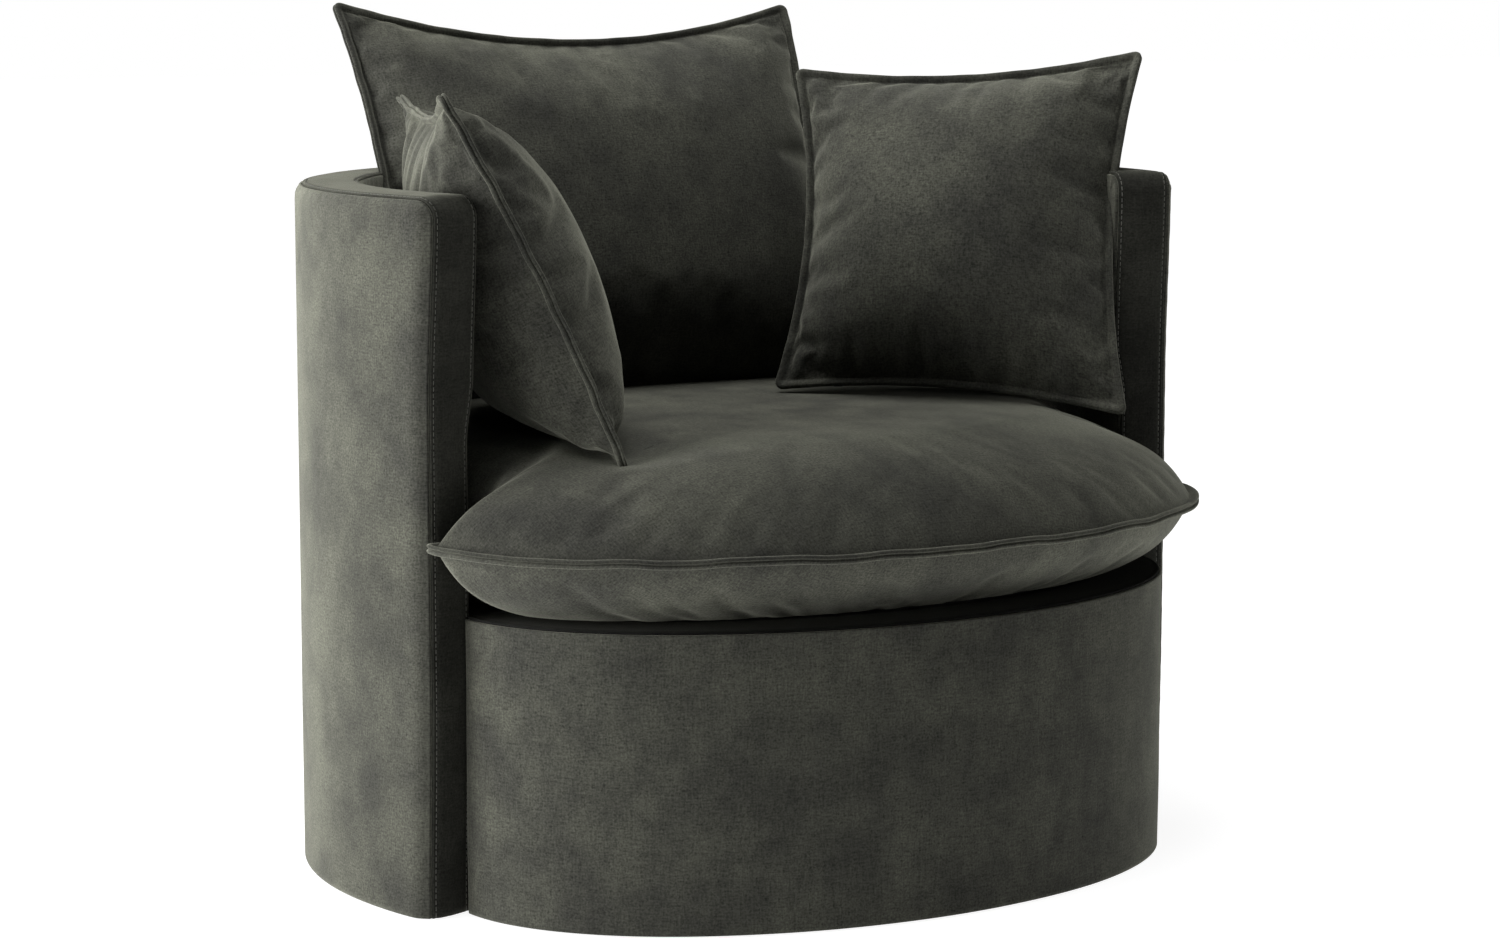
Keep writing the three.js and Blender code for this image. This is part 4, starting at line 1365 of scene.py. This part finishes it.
    def placing(self) -> Matrix:
        """The turn from the cushion's own axes to the chair's."""
        turned = Matrix.Rotation(self.yaw, 3, "Z") @ Matrix.Rotation(-self.lean, 3, "X")
        return turned @ Matrix.Rotation(self.roll, 3, "Y")

    def build(self) -> bpy.types.Object:
        """Makes the cushion's cover and swells it.

        Returns:
            The cushion, in place.
        """
        across, side_away = self.cuts(self.width)
        up, end_away = self.cuts(self.height)
        across_grid, up_grid = np.meshgrid(across, up)
        side_grid, end_grid = np.meshgrid(side_away, end_away)
        away = np.minimum(side_grid, end_grid)
        shift = self.flange.shift(away) * 2.0
        across_sheet = across_grid * (1.0 - shift * (side_grid <= end_grid) / self.width)
        up_sheet = up_grid * (1.0 - shift * (end_grid <= side_grid) / self.height)
        seam_shift = self.seam_shift(across_grid, up_grid)
        edge = self.flange.half_thickness(away)
        on_edge = 1.0 - smooth_step((away - self.flange.width) / self.seam_fade)
        mesh = ClothMesh(self.phase * 2.7)
        turn = np.array(self.placing())
        origin = self.origin()
        for panel, side in enumerate((-1.0, 1.0)):
            sheet = self.middle_sheet(across_sheet, up_sheet)
            bulge = edge + self.rise(across_grid, up_grid, panel) + self.puckering(across_grid, up_grid, side)
            sheet[..., 1] += side * bulge + seam_shift * on_edge
            mesh.add_grid(sheet @ turn.T + origin, unrolled(sheet), side > 0, away)
        piece = mesh.build(self.name)
        self.stuffing.fill(piece, self.flange.width + self.held_slack)
        subdivide(piece)
        return piece

    def origin(self) -> Points:
        """Works out where the cushion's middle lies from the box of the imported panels."""
        boxes = [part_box(f"{self.name}_{panel}_panel") for panel in ("front", "back")]
        low = np.min([np.array(low) for low, _ in boxes], axis=0)
        high = np.max([np.array(high) for _, high in boxes], axis=0)
        return (low + high) / 2 + np.array(self.nudge)


@dataclass
class SeatCushion:
    """The domed seat cushion, round inside the wall, with ears that lap the arm fronts."""

    plan: WallPlan
    deck_top: float
    front_y: float
    clearance: float = 3.0 * MM
    least_gap: float = 0.4 * MM
    seat_gap: float = 0.3 * MM
    ear_overhang: float = 11.0 * MM
    bow_overhang: float = 8.0 * MM
    bow_setback: float = 100.0 * MM
    middle_setback: float = 200.0 * MM
    seam_rise: float = 73.0 * MM
    crown: float = 94.0 * MM
    dome: float = 6.0 * MM
    top_round: float = 190.0 * MM
    bottom_round: float = 97.0 * MM
    fullness: float = 0.68
    steepness: dict[str, float] = field(
        default_factory=lambda: {"bow": 1.0, "arm": 5.0, "left wall": 4.0, "right wall": 10.0}
    )
    dents: tuple[tuple[float, float, float, float], ...] = ((-0.268, -0.225, 0.013, 0.075),)
    corner_power: float = 4.0
    patch_share: float = 0.5
    side_cells: int = 72
    ring_count: int = 26
    pucker: float = 1.3 * MM
    pucker_wavelength: float = 52.0 * MM
    pucker_reach: float = 0.035
    pucker_start: float = 12.0 * MM
    seam_wave: float = 1.2 * MM
    seam_wave_reach: float = 0.03
    ring_crowding: float = 1.25
    arc_points: int = 200
    bow_points: int = 160
    smoothings: int = 2
    seam_wavelength: float = 150.0 * MM
    seam_swing: float = 3.0
    seam_phase: float = 0.4
    seam_calm: float = 4.0
    least_half_thickness: float = 0.9 * MM
    left_ear_lift: float = 7.0 * MM
    # Painted shade on the top panel and painted light on the underside, scaled into the velvet's colour.
    top_painted_shade: float = -0.15
    underside_painted_light: float = 0.40
    ear_reach: float = 50.0 * MM
    zip_half_angle: float = math.radians(55.0)
    fill: float = 0.85
    stuffing: Stuffing = field(default_factory=lambda: Stuffing(pressure=2.0, growth=0.001, cap=5.0 * MM))
    flange: Flange = field(default_factory=Flange)

    def arm_line(self, reach: float) -> Points:
        """A place along the front of the arm on the +X side, with the clearance before it."""
        outwards = np.array([math.sin(self.plan.half_angle), math.cos(self.plan.half_angle)])
        forwards = np.array([outwards[1], -outwards[0]])
        return outwards * reach + forwards * self.clearance + np.array([0.0, self.plan.centre_y])

    def outline(self) -> Points:
        """Follows the cushion's edge once round, with evenly spaced points."""
        radius = self.plan.inner_radius - self.clearance
        notch, root = self.arm_line(radius), self.ear_root()
        arc = self.plan.arc(radius, self.arc_points)[1:-1]
        bow_half_width = root[0] + self.bow_overhang
        bow_y = self.plan.centre_y - self.bow_setback
        limit = math.asin(root[0] / bow_half_width)
        turns = np.linspace(-limit, limit, self.bow_points)
        y = bow_y - (bow_y - self.front_y) * np.cos(turns)
        bow = np.stack([bow_half_width * np.sin(turns), y], axis=-1)
        right_arm = np.array([root, notch])
        left_arm = right_arm[::-1] * (-1.0, 1.0)
        path = closed(np.concatenate([right_arm, arc, left_arm, bow]))
        travel = travelled(path)
        where = np.linspace(0.0, travel[-1], 4 * self.side_cells, endpoint=False)
        even = np.stack([np.interp(where, travel, path[:, axis]) for axis in range(2)], axis=-1)
        for _ in range(self.smoothings):
            even = np.roll(even, -1, axis=0) / 4 + even / 2 + np.roll(even, 1, axis=0) / 4
        return even

    def ear_root(self) -> Points:
        """The outer end of the ear that laps the arm on the +X side."""
        return self.arm_line(self.plan.outer_radius + self.ear_overhang)

    @property
    def seam_height(self) -> float:
        """The seam's height over the floor."""
        return self.deck_top + self.seam_rise + self.seat_gap

    def seam_shift(self, outline: Points) -> tuple[Points, Points]:
        """Gives the way travelled once round the edge, and how far the seam wanders up and down there.

        Args:
            outline: The points round the edge.

        Returns:
            The way travelled and the wander, with the first point once more at the end.
        """
        path = closed(outline)
        travel = travelled(path)
        ends = np.sin(math.pi * travel / travel[-1])
        swings = np.tanh(self.seam_swing * uneven(travel, self.seam_wavelength, self.seam_phase))
        wave = self.seam_wave * swings * smooth_step(ends * self.seam_calm)
        from_root = np.linalg.norm(path - self.ear_root() * (-1.0, 1.0), axis=1)
        return travel, wave + self.left_ear_lift * bell(from_root, self.ear_reach)

    def zip_line(self) -> tuple[Points, Points]:
        """Follows the seam at the back of the cushion and gives its places and outward directions."""
        outline = self.outline()
        wave = self.seam_shift(outline)[1][:-1]
        radial = outline - np.array([0.0, self.plan.centre_y])
        radius = np.linalg.norm(radial, axis=1)
        at_back = radial[:, 1] > radius * math.cos(self.zip_half_angle)
        outwards = np.concatenate([radial / radius[:, None], np.zeros((len(outline), 1))], axis=1)[at_back]
        path = np.concatenate([outline, (self.seam_height + wave)[:, None]], axis=1)[at_back]
        return path - outwards * self.flange.insets[0], outwards

    def height(self, edge_depth: Points, body_depth: Points, side: float) -> Points:
        """How far a panel stands from the middle sheet.

        Args:
            edge_depth: The distances in from the outer edge.
            body_depth: The distances in from the flange, made longer where the wall holds the cushion.
            side: 1 for the top panel and -1 for the bottom one.

        Returns:
            The height at each place.
        """
        top, bottom = (self.top_round, self.crown, self.dome), (self.bottom_round, self.seam_rise, 0.0)
        rounding, rise, dome = top if side > 0 else bottom
        share = np.clip(body_depth / rounding, 0.0, 1.0)
        pinch = self.flange.pinch(edge_depth - self.flange.width)
        body = rise * (1.0 - (1.0 - share) ** 2) ** self.fullness * pinch
        middle = dome * smooth_step(body_depth / (2.0 * rounding))
        least = self.least_half_thickness * (edge_depth > 0)
        return np.maximum(self.flange.half_thickness(edge_depth), least) + body + middle

    def pressed(self, places: Points) -> Points:
        """How far the top is pressed in at places in plan, where a pillow's corner stands on it."""
        total = np.zeros(places.shape[:-1])
        for x, y, depth, reach in self.dents:
            total += depth * np.exp(-(((places[..., 0] - x) ** 2 + (places[..., 1] - y) ** 2) / reach**2))
        return total

    def patch(self, rim: Points) -> Points:
        """Fills the middle with a square grid between four sides of a ring."""
        cells = self.side_cells
        sides = [rim[np.arange(start, start + cells + 1) % len(rim)] for start in range(0, 4 * cells, cells)]
        low, right, high, left = sides[0], sides[1], sides[2][::-1], sides[3][::-1]
        share = np.linspace(0.0, 1.0, cells + 1)
        across, up = share[None, :, None], share[:, None, None]
        ruled = (1 - up) * low[None] + up * high[None]
        ruled = ruled + (1 - across) * left[:, None] + across * right[:, None]
        corners = ((1 - across) * (1 - up) * low[0] + across * (1 - up) * low[-1]
                   + (1 - across) * up * high[0] + across * up * high[-1])
        return ruled - corners

    def depths(self, places: Points, outline: Points) -> tuple[Points, Points]:
        """Measures how far places lie inside the cushion's edge, in plan.

        The wall and the arms hold the cushion in, so that it rises more steeply beside them than at its bow.

        Args:
            places: The places, of which the first two coordinates count.
            outline: The points round the edge.

        Returns:
            The distance from each place to the edge, and the depth that its height follows.
        """
        flat = places[..., :2].reshape(-1, 2)
        root_y = self.ear_root()[1]
        notch_y = self.arm_line(self.plan.inner_radius - self.clearance)[1]
        reaches = {kind: np.full(len(flat), np.inf) for kind in self.steepness}
        for start, end in zip(outline, np.roll(outline, -1, axis=0)):
            line = end - start
            share = np.clip((flat - start) @ line / (line @ line), 0.0, 1.0)
            reach = np.linalg.norm(flat - start - share[:, None] * line, axis=1)
            middle_x, middle_y = (start + end) / 2
            wall = "left wall" if middle_x < 0 else "right wall"
            kind = "bow" if middle_y < root_y else "arm" if middle_y < notch_y else wall
            reaches[kind] = np.minimum(reaches[kind], reach)
        power = self.corner_power
        parts = [
            (np.maximum(reach - self.flange.width, TINY) * self.steepness[kind]) ** -power
            for kind, reach in reaches.items()
        ]
        body = sum(parts) ** (-1.0 / power)
        shape = places.shape[:-1]
        return np.minimum.reduce(list(reaches.values())).reshape(shape), body.reshape(shape)

    def rings(self, outline: Points) -> Points:
        """Follows the edge inwards: across the flange square to it, and on towards the middle.

        Args:
            outline: The points round the edge.

        Returns:
            The rings in plan, from the edge inwards.
        """
        middle = np.array([0.0, self.plan.centre_y - self.middle_setback])
        along = unit(np.roll(outline, -1, axis=0) - np.roll(outline, 1, axis=0))
        inwards = np.stack([-along[:, 1], along[:, 0]], axis=-1)
        inwards *= np.sign(((middle - outline) * inwards).sum(axis=1))[:, None]
        edge = [outline + inwards * inset for inset in self.flange.insets]
        goal = middle + (outline - middle) * (1.0 - self.patch_share)
        shares = np.linspace(0.0, 1.0, self.ring_count)[1:] ** self.ring_crowding
        return np.array(edge + [edge[-1] + (goal - edge[-1]) * share for share in shares])

    def build(self) -> bpy.types.Object:
        """Makes the cushion's cover and swells it.

        Returns:
            The cushion, in place.
        """
        outline = self.outline()
        rings = self.rings(outline)
        rings = np.concatenate([rings, rings[:, :1]], axis=1)
        patch = self.patch(rings[-1][:-1])
        ring_edges, ring_bodies = self.depths(rings, outline)
        ring_edges[:len(self.flange.offsets)] = np.array(self.flange.offsets)[:, None]
        patch_edges, patch_bodies = self.depths(patch, outline)
        travel, wave = self.seam_shift(outline)
        outwards = unit(rings[0] - rings[-1])
        mesh = ClothMesh(12.4)
        # Each panel carries its painted light or painted shade share.
        for side, painted_light in ((1.0, self.top_painted_shade), (-1.0, self.underside_painted_light)):
            pucker = self.pucker * uneven(travel, self.pucker_wavelength, 1.0 + side)
            pucker = pucker * np.exp(-ring_edges / self.pucker_reach)
            pucker = pucker * smooth_step((ring_edges - self.flange.width) / self.pucker_start)
            rise = self.height(ring_edges, ring_bodies, side) + pucker
            heights = self.seam_height + side * rise + wave * np.exp(-ring_edges / self.seam_wave_reach)
            heights = heights - self.pressed(rings) * (side > 0)
            band = np.concatenate([rings, heights[..., None]], axis=-1)
            steps = np.linalg.norm(np.diff(band[::-1], axis=0), axis=-1)
            reach = np.concatenate([np.zeros((1, len(travel))), np.cumsum(steps, axis=0)])[::-1]
            mesh.add_grid(band, rings[-1] + outwards * reach[..., None], side < 0, ring_edges, painted_light)
            heights = self.seam_height + side * self.height(patch_edges, patch_bodies, side)
            heights = heights - self.pressed(patch) * (side > 0)
            middle = np.concatenate([patch, heights[..., None]], axis=-1)
            mesh.add_grid(middle, patch, side < 0, patch_edges, painted_light)
        piece = mesh.build("seat_cushion")
        self.stuffing.fill(piece, self.flange.width + self.least_gap)
        self.keep_clear(piece)
        subdivide(piece)
        return piece

    def keep_clear(self, piece: bpy.types.Object) -> None:
        """Keeps the cushion above the deck and inside the wall."""
        places = coordinates(piece)
        places[:, 2] = np.maximum(places[:, 2], self.deck_top + self.least_gap)
        axis = np.array([0.0, self.plan.centre_y])
        flat = places[:, :2] - axis
        radius = np.linalg.norm(flat, axis=1)
        turned = np.abs(np.arctan2(flat[:, 0], flat[:, 1]))
        limit = self.plan.inner_radius - self.least_gap
        inside = (turned < self.plan.half_angle) & (radius > limit)
        scale = np.where(inside, limit / np.maximum(radius, limit), 1.0)
        places[:, :2] = flat * scale[:, None] + axis
        set_coordinates(piece, places)


# Studio


@dataclass(frozen=True)
class Lamp:
    """A soft lamp: where it hangs, its width and height, and its power in watts."""

    name: str
    place: tuple[float, float, float]
    size: tuple[float, float]
    power: float


@dataclass
class Studio:
    """The pale floor, the soft lamps and the camera."""

    eye: tuple[float, float, float] = (-2.1827, -3.5740, 0.9704)
    azimuth: float = math.radians(31.694)
    pitch: float = math.radians(7.492)
    lens: float = 90.07
    sensor_width: float = 36.0
    clip_end: float = 200.0
    aim: tuple[float, float, float] = (0.0, 0.0, 0.45)
    floor_size: float = 60.0
    floor_colour: Colour = (0.94, 0.94, 0.94)
    glow_share: float = 0.66
    reaches: tuple[float, float] = (1.2, 3.6)
    glow_levels: tuple[float, float] = (1.38, 1.56)
    bounce_levels: tuple[float, float] = (0.42, 0.12)
    world_level: float = 0.01
    lamps: tuple[Lamp, ...] = (
        Lamp("main_lamp", (-3.3, 1.3, 1.8), (1.9, 1.9), 182.0),
        Lamp("low_lamp", (-3.6, -0.2, 0.46), (1.8, 0.84), 86.0),
        Lamp("top_lamp", (-0.3, -0.1, 3.6), (2.0, 2.0), 100.0),
        Lamp("right_lamp", (3.3, -2.4, 0.6), (1.2, 1.2), 20.0),
    )

    def add_camera(self) -> None:
        """Stands the camera where the photograph was taken from."""
        data = bpy.data.cameras.new("camera")
        data.lens = self.lens
        data.sensor_width = self.sensor_width
        data.clip_end = self.clip_end
        camera = link("camera", data)
        ahead = Vector((
            math.sin(self.azimuth) * math.cos(self.pitch),
            math.cos(self.azimuth) * math.cos(self.pitch),
            -math.sin(self.pitch),
        ))
        camera.location = self.eye
        camera.rotation_euler = ahead.to_track_quat("-Z", "Y").to_euler()
        bpy.context.scene.camera = camera

    def add_lamp(self, lamp: Lamp) -> None:
        """Hangs a soft lamp that points at the chair."""
        data = bpy.data.lights.new(lamp.name, "AREA")
        data.shape = "RECTANGLE"
        data.size, data.size_y = lamp.size
        data.energy = lamp.power
        made = link(lamp.name, data)
        made.location = lamp.place
        made.rotation_euler = (Vector(self.aim) - Vector(lamp.place)).to_track_quat("-Z", "Y").to_euler()

    def white_where_seen(self, draft: ShaderDraft, plain: bpy.types.Node) -> bpy.types.Node:
        """Mixes a white glow into a shader, more of it for the camera than for the light it gives off."""
        seen = draft.node("ShaderNodeLightPath").outputs["Is Camera Ray"]
        place = draft.node("ShaderNodeTexCoord").outputs["Object"]
        reach = draft.node("ShaderNodeVectorMath", {0: place}, operation="LENGTH").outputs["Value"]
        level = draft.ramp(reach, self.reaches, "LINEAR", self.glow_levels)
        glow = draft.node("ShaderNodeEmission", {"Color": WHITE, "Strength": level})
        bounce = draft.ramp(reach, self.reaches, "LINEAR", self.bounce_levels)
        share = draft.maths("MAXIMUM", draft.maths("MULTIPLY", seen, self.glow_share), bounce)
        return draft.mix(share, plain, glow)

    def add_floor(self) -> None:
        """Lays the pale floor."""
        mesh = bpy.data.meshes.new("floor")
        half = self.floor_size / 2
        corners = [(-half, -half, 0.0), (half, -half, 0.0), (half, half, 0.0), (-half, half, 0.0)]
        mesh.from_pydata(corners, [], [(0, 1, 2, 3)])
        floor = link("floor", mesh)
        draft = new_draft("pale_floor")
        plain = draft.node("ShaderNodeBsdfDiffuse", {"Color": opaque(self.floor_colour)})
        mesh.materials.append(draft.finish(self.white_where_seen(draft, plain), "ShaderNodeOutputMaterial"))

    def add_world(self) -> None:
        """Lights the scene evenly from all round and shows white behind it."""
        draft = ShaderDraft(bpy.data.worlds.new("studio"))
        seen = draft.node("ShaderNodeLightPath").outputs["Is Camera Ray"]
        levels = (self.world_level, 1.0)
        lighting, white = (
            draft.node("ShaderNodeBackground", {"Color": WHITE, "Strength": level}) for level in levels
        )
        bpy.context.scene.world = draft.finish(draft.mix(seen, lighting, white), "ShaderNodeOutputWorld")

    def build(self) -> None:
        """Sets up the whole studio."""
        bpy.context.scene.view_settings.view_transform = "Standard"
        self.add_camera()
        for lamp in self.lamps:
            self.add_lamp(lamp)
        self.add_floor()
        self.add_world()


# Assembly


@dataclass
class CuddleChair:
    """The whole chair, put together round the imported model."""

    wardrobe: Wardrobe
    firm_fill: float = 0.9
    deck_fill: float = 0.5

    def add(self, piece: bpy.types.Object, body: str, finish: Finish, nodes: Sequence[str] = ()) -> None:
        """Dresses a piece, lets it ride on a body and hides the nodes that it stands for.

        Args:
            piece: The new piece, in place.
            body: The body that it moves with.
            finish: Its finish.
            nodes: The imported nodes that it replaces.
        """
        self.wardrobe.dress(piece, finish)
        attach(piece, body)
        if nodes:
            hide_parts(*nodes)
        log.info("%s: %d faces, %s, on %s", piece.name, len(piece.data.polygons), finish.value, body)

    def add_wall(self, plan: WallPlan) -> None:
        """Makes the wall's covers."""
        low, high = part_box("shell_outer_cover")
        inner_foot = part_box("shell_inner_cover")[0].z
        wall = RoundWall(plan, high.z, low.z, inner_foot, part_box("seat_top_panel")[1].z)
        outer_panel, inner_panel = wall.face_panel(wall.outer), wall.face_panel(wall.inner)
        strip = wall.strip()
        self.add(outer_panel, "chair_base", Finish.VELVET, ("shell_outer_cover", "shell_outer_wadding"))
        self.add(inner_panel, "chair_base", Finish.VELVET, ("shell_inner_cover", "shell_inner_foam"))
        self.add(strip, "chair_base", Finish.VELVET, ("rim_cover_strip", "rim_foam"))
        # The strip wears the darker copy of the velvet: painted shade on the arm fronts.
        strip.data.materials[0] = self.wardrobe.shaded_strip_velvet
        self.add(wall.turned_hem(), "chair_base", Finish.VELVET)
        stitches = wall.topstitches()
        self.add(stitches, "chair_base", Finish.VELVET)
        stitches.data.materials[0] = self.wardrobe.thread

    def add_plinth(self, plan: WallPlan) -> None:
        """Makes the bowed front and the deck."""
        low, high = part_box("front_cover")
        deck_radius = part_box("deck_cover")[1].y - plan.centre_y
        plinth = Plinth((high.x - low.x) / 2, high.y - low.y, high.y, high.z, low.z, deck_radius, plan)
        front = plinth.front_panel()
        self.add(front, "chair_base", Finish.VELVET, ("front_cover", "front_foam"))
        border = plinth.deck_border()
        self.add(border, "chair_base", Finish.VELVET)
        # The border wears the near-black copy of the velvet: painted shadow under the seat cushion.
        border.data.materials[0] = self.wardrobe.shaded_border_velvet
        lining = plinth.deck_lining()
        self.add(lining, "chair_base", Finish.LINING, ("deck_cover", "deck_pad"))

    def add_seat(self, plan: WallPlan) -> None:
        """Makes the seat cushion."""
        seat = SeatCushion(plan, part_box("deck_cover")[1].z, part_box("seat_top_panel")[0].y)
        piece = seat.build()
        nodes = ("seat_top_panel", "seat_bottom_panel", "seat_filling")
        self.add(piece, "seat_cushion", Finish.VELVET, nodes)
        self.add(Zip().build("seat_teeth", *seat.zip_line()), "seat_cushion", Finish.PLASTIC, ("seat_zip",))

    def add_pillow(self, pillow: Pillow) -> None:
        """Makes the back cushion or a pillow."""
        piece = pillow.build()
        nodes = tuple(f"{pillow.name}_{part}" for part in ("front_panel", "back_panel", "filling"))
        self.add(piece, pillow.name, Finish.VELVET, nodes)
        teeth = Zip().build(f"{pillow.name}_teeth", *pillow.zip_line())
        self.add(teeth, pillow.name, Finish.PLASTIC, (f"{pillow.name}_zip",))

    def build(self) -> None:
        """Puts the whole chair together."""
        self.wardrobe.dress_frame(frame["nodes"], frame["record"])
        plan = read_plan()
        self.add_wall(plan)
        self.add_plinth(plan)
        self.add_seat(plan)
        for pillow in loose_cushions():
            self.add_pillow(pillow)


def read_plan(cover: float = 2.0 * MM) -> WallPlan:
    """Reads the wall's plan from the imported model, up to the outer side of its covers."""
    low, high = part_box("shell_outer_cover")
    inner_low, inner_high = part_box("shell_inner_cover")
    outer_radius = (high.x - low.x) / 2
    return WallPlan(outer_radius, (inner_high.x - inner_low.x) / 2 - cover, high.y - outer_radius)


def loose_cushions() -> list[Pillow]:
    """Describes the back cushion and the two pillows."""
    square = {"width": 412.0 * MM, "height": 434.0 * MM, "draw_bottom": 18.0 * MM}
    return [
        Pillow(
            name="back_cushion",
            width=616.0 * MM,
            height=500.0 * MM,
            crown=76.0 * MM,
            draw_top=48.0 * MM,
            draw_bottom=20.0 * MM,
            draw_side=14.0 * MM,
            side_bend=26.0 * MM,
            yaw=0.0,
            lean=math.radians(20.0),
            roll=math.radians(0.5),
            nudge=(-3.0 * MM, 8.0 * MM, -9.0 * MM),
            phase=0.9,
            fullness=(1.12, 1.0),
            cells=86,
            folds=(
                Fold((-0.95, 0.94), (-0.60, 0.52), 4.0 * MM, 18.0 * MM),
                Fold((0.95, 0.94), (0.64, 0.55), 4.0 * MM, 18.0 * MM),
                Fold((0.98, 0.20), (0.66, 0.12), -3.5 * MM, 16.0 * MM),
            ),
        ),
        Pillow(
            name="left_pillow",
            **square,
            crown=76.0 * MM,
            draw_top=29.0 * MM,
            draw_side=13.0 * MM,
            side_bend=10.0 * MM,
            yaw=math.radians(70.5),
            lean=math.radians(25.5),
            roll=math.radians(3.5),
            nudge=(9.0 * MM, 10.0 * MM, -25.0 * MM),
            foot_lifts=(-9.0 * MM, 30.0 * MM),
            top_drops=(10.0 * MM, 0.0),
            phase=2.2,
            slumps=(-0.06, 0.28),
            fullness=(1.0, 1.08),
            pucker=3.4 * MM,
            pucker_wavelength=44.0 * MM,
            folds=(
                Fold((-0.93, 0.93), (-0.62, 0.30), 5.0 * MM, 11.0 * MM),
                Fold((-0.90, 0.95), (-0.30, 0.50), 5.0 * MM, 13.0 * MM),
                Fold((-0.97, 0.80), (-0.80, 0.34), -5.0 * MM, 9.0 * MM),
                Fold((0.93, 0.93), (0.52, 0.28), 7.0 * MM, 12.0 * MM),
                Fold((0.55, 0.98), (0.30, 0.30), -8.0 * MM, 10.0 * MM),
                Fold((-0.35, 0.98), (-0.20, 0.36), -8.0 * MM, 10.0 * MM),
                Fold((0.10, 0.98), (0.05, 0.42), 5.0 * MM, 8.0 * MM),
                Fold((-0.98, 0.05), (-0.52, 0.30), -6.0 * MM, 12.0 * MM),
                Fold((-0.98, -0.42), (-0.50, -0.06), -6.5 * MM, 14.0 * MM),
                Fold((-0.95, -0.93), (-0.55, -0.52), 4.5 * MM, 13.0 * MM),
            ),
        ),
        Pillow(
            name="right_pillow",
            **square,
            crown=70.0 * MM,
            draw_top=20.0 * MM,
            draw_side=26.0 * MM,
            yaw=math.radians(-46.0),
            lean=math.radians(20.5),
            roll=math.radians(-1.2),
            nudge=(14.0 * MM, 16.0 * MM, -5.0 * MM),
            foot_lifts=(28.0 * MM, 0.0),
            top_drops=(16.0 * MM, 0.0),
            phase=3.4,
            slumps=(0.0, 0.0),
            fullness=(1.42, 0.94),
            roundness=0.72,
            pucker=3.0 * MM,
            pucker_wavelength=46.0 * MM,
            folds=(
                Fold((-0.99, -0.12), (-0.66, -0.02), -4.5 * MM, 10.0 * MM),
                Fold((-0.99, -0.40), (-0.70, -0.33), -4.5 * MM, 10.0 * MM),
                Fold((0.93, 0.93), (0.50, 0.66), 3.5 * MM, 13.0 * MM),
                Fold((0.95, -0.93), (0.62, -0.55), 4.0 * MM, 12.0 * MM),
                Fold((-0.93, 0.93), (-0.55, 0.60), 3.5 * MM, 13.0 * MM),
            ),
        ),
    ]


def main() -> None:
    """Builds the studio and the chair."""
    logging.basicConfig(level=logging.INFO, format="%(name)s %(message)s")
    Studio().build()
    CuddleChair(Wardrobe()).build()


if __name__ == "__main__":
    main()
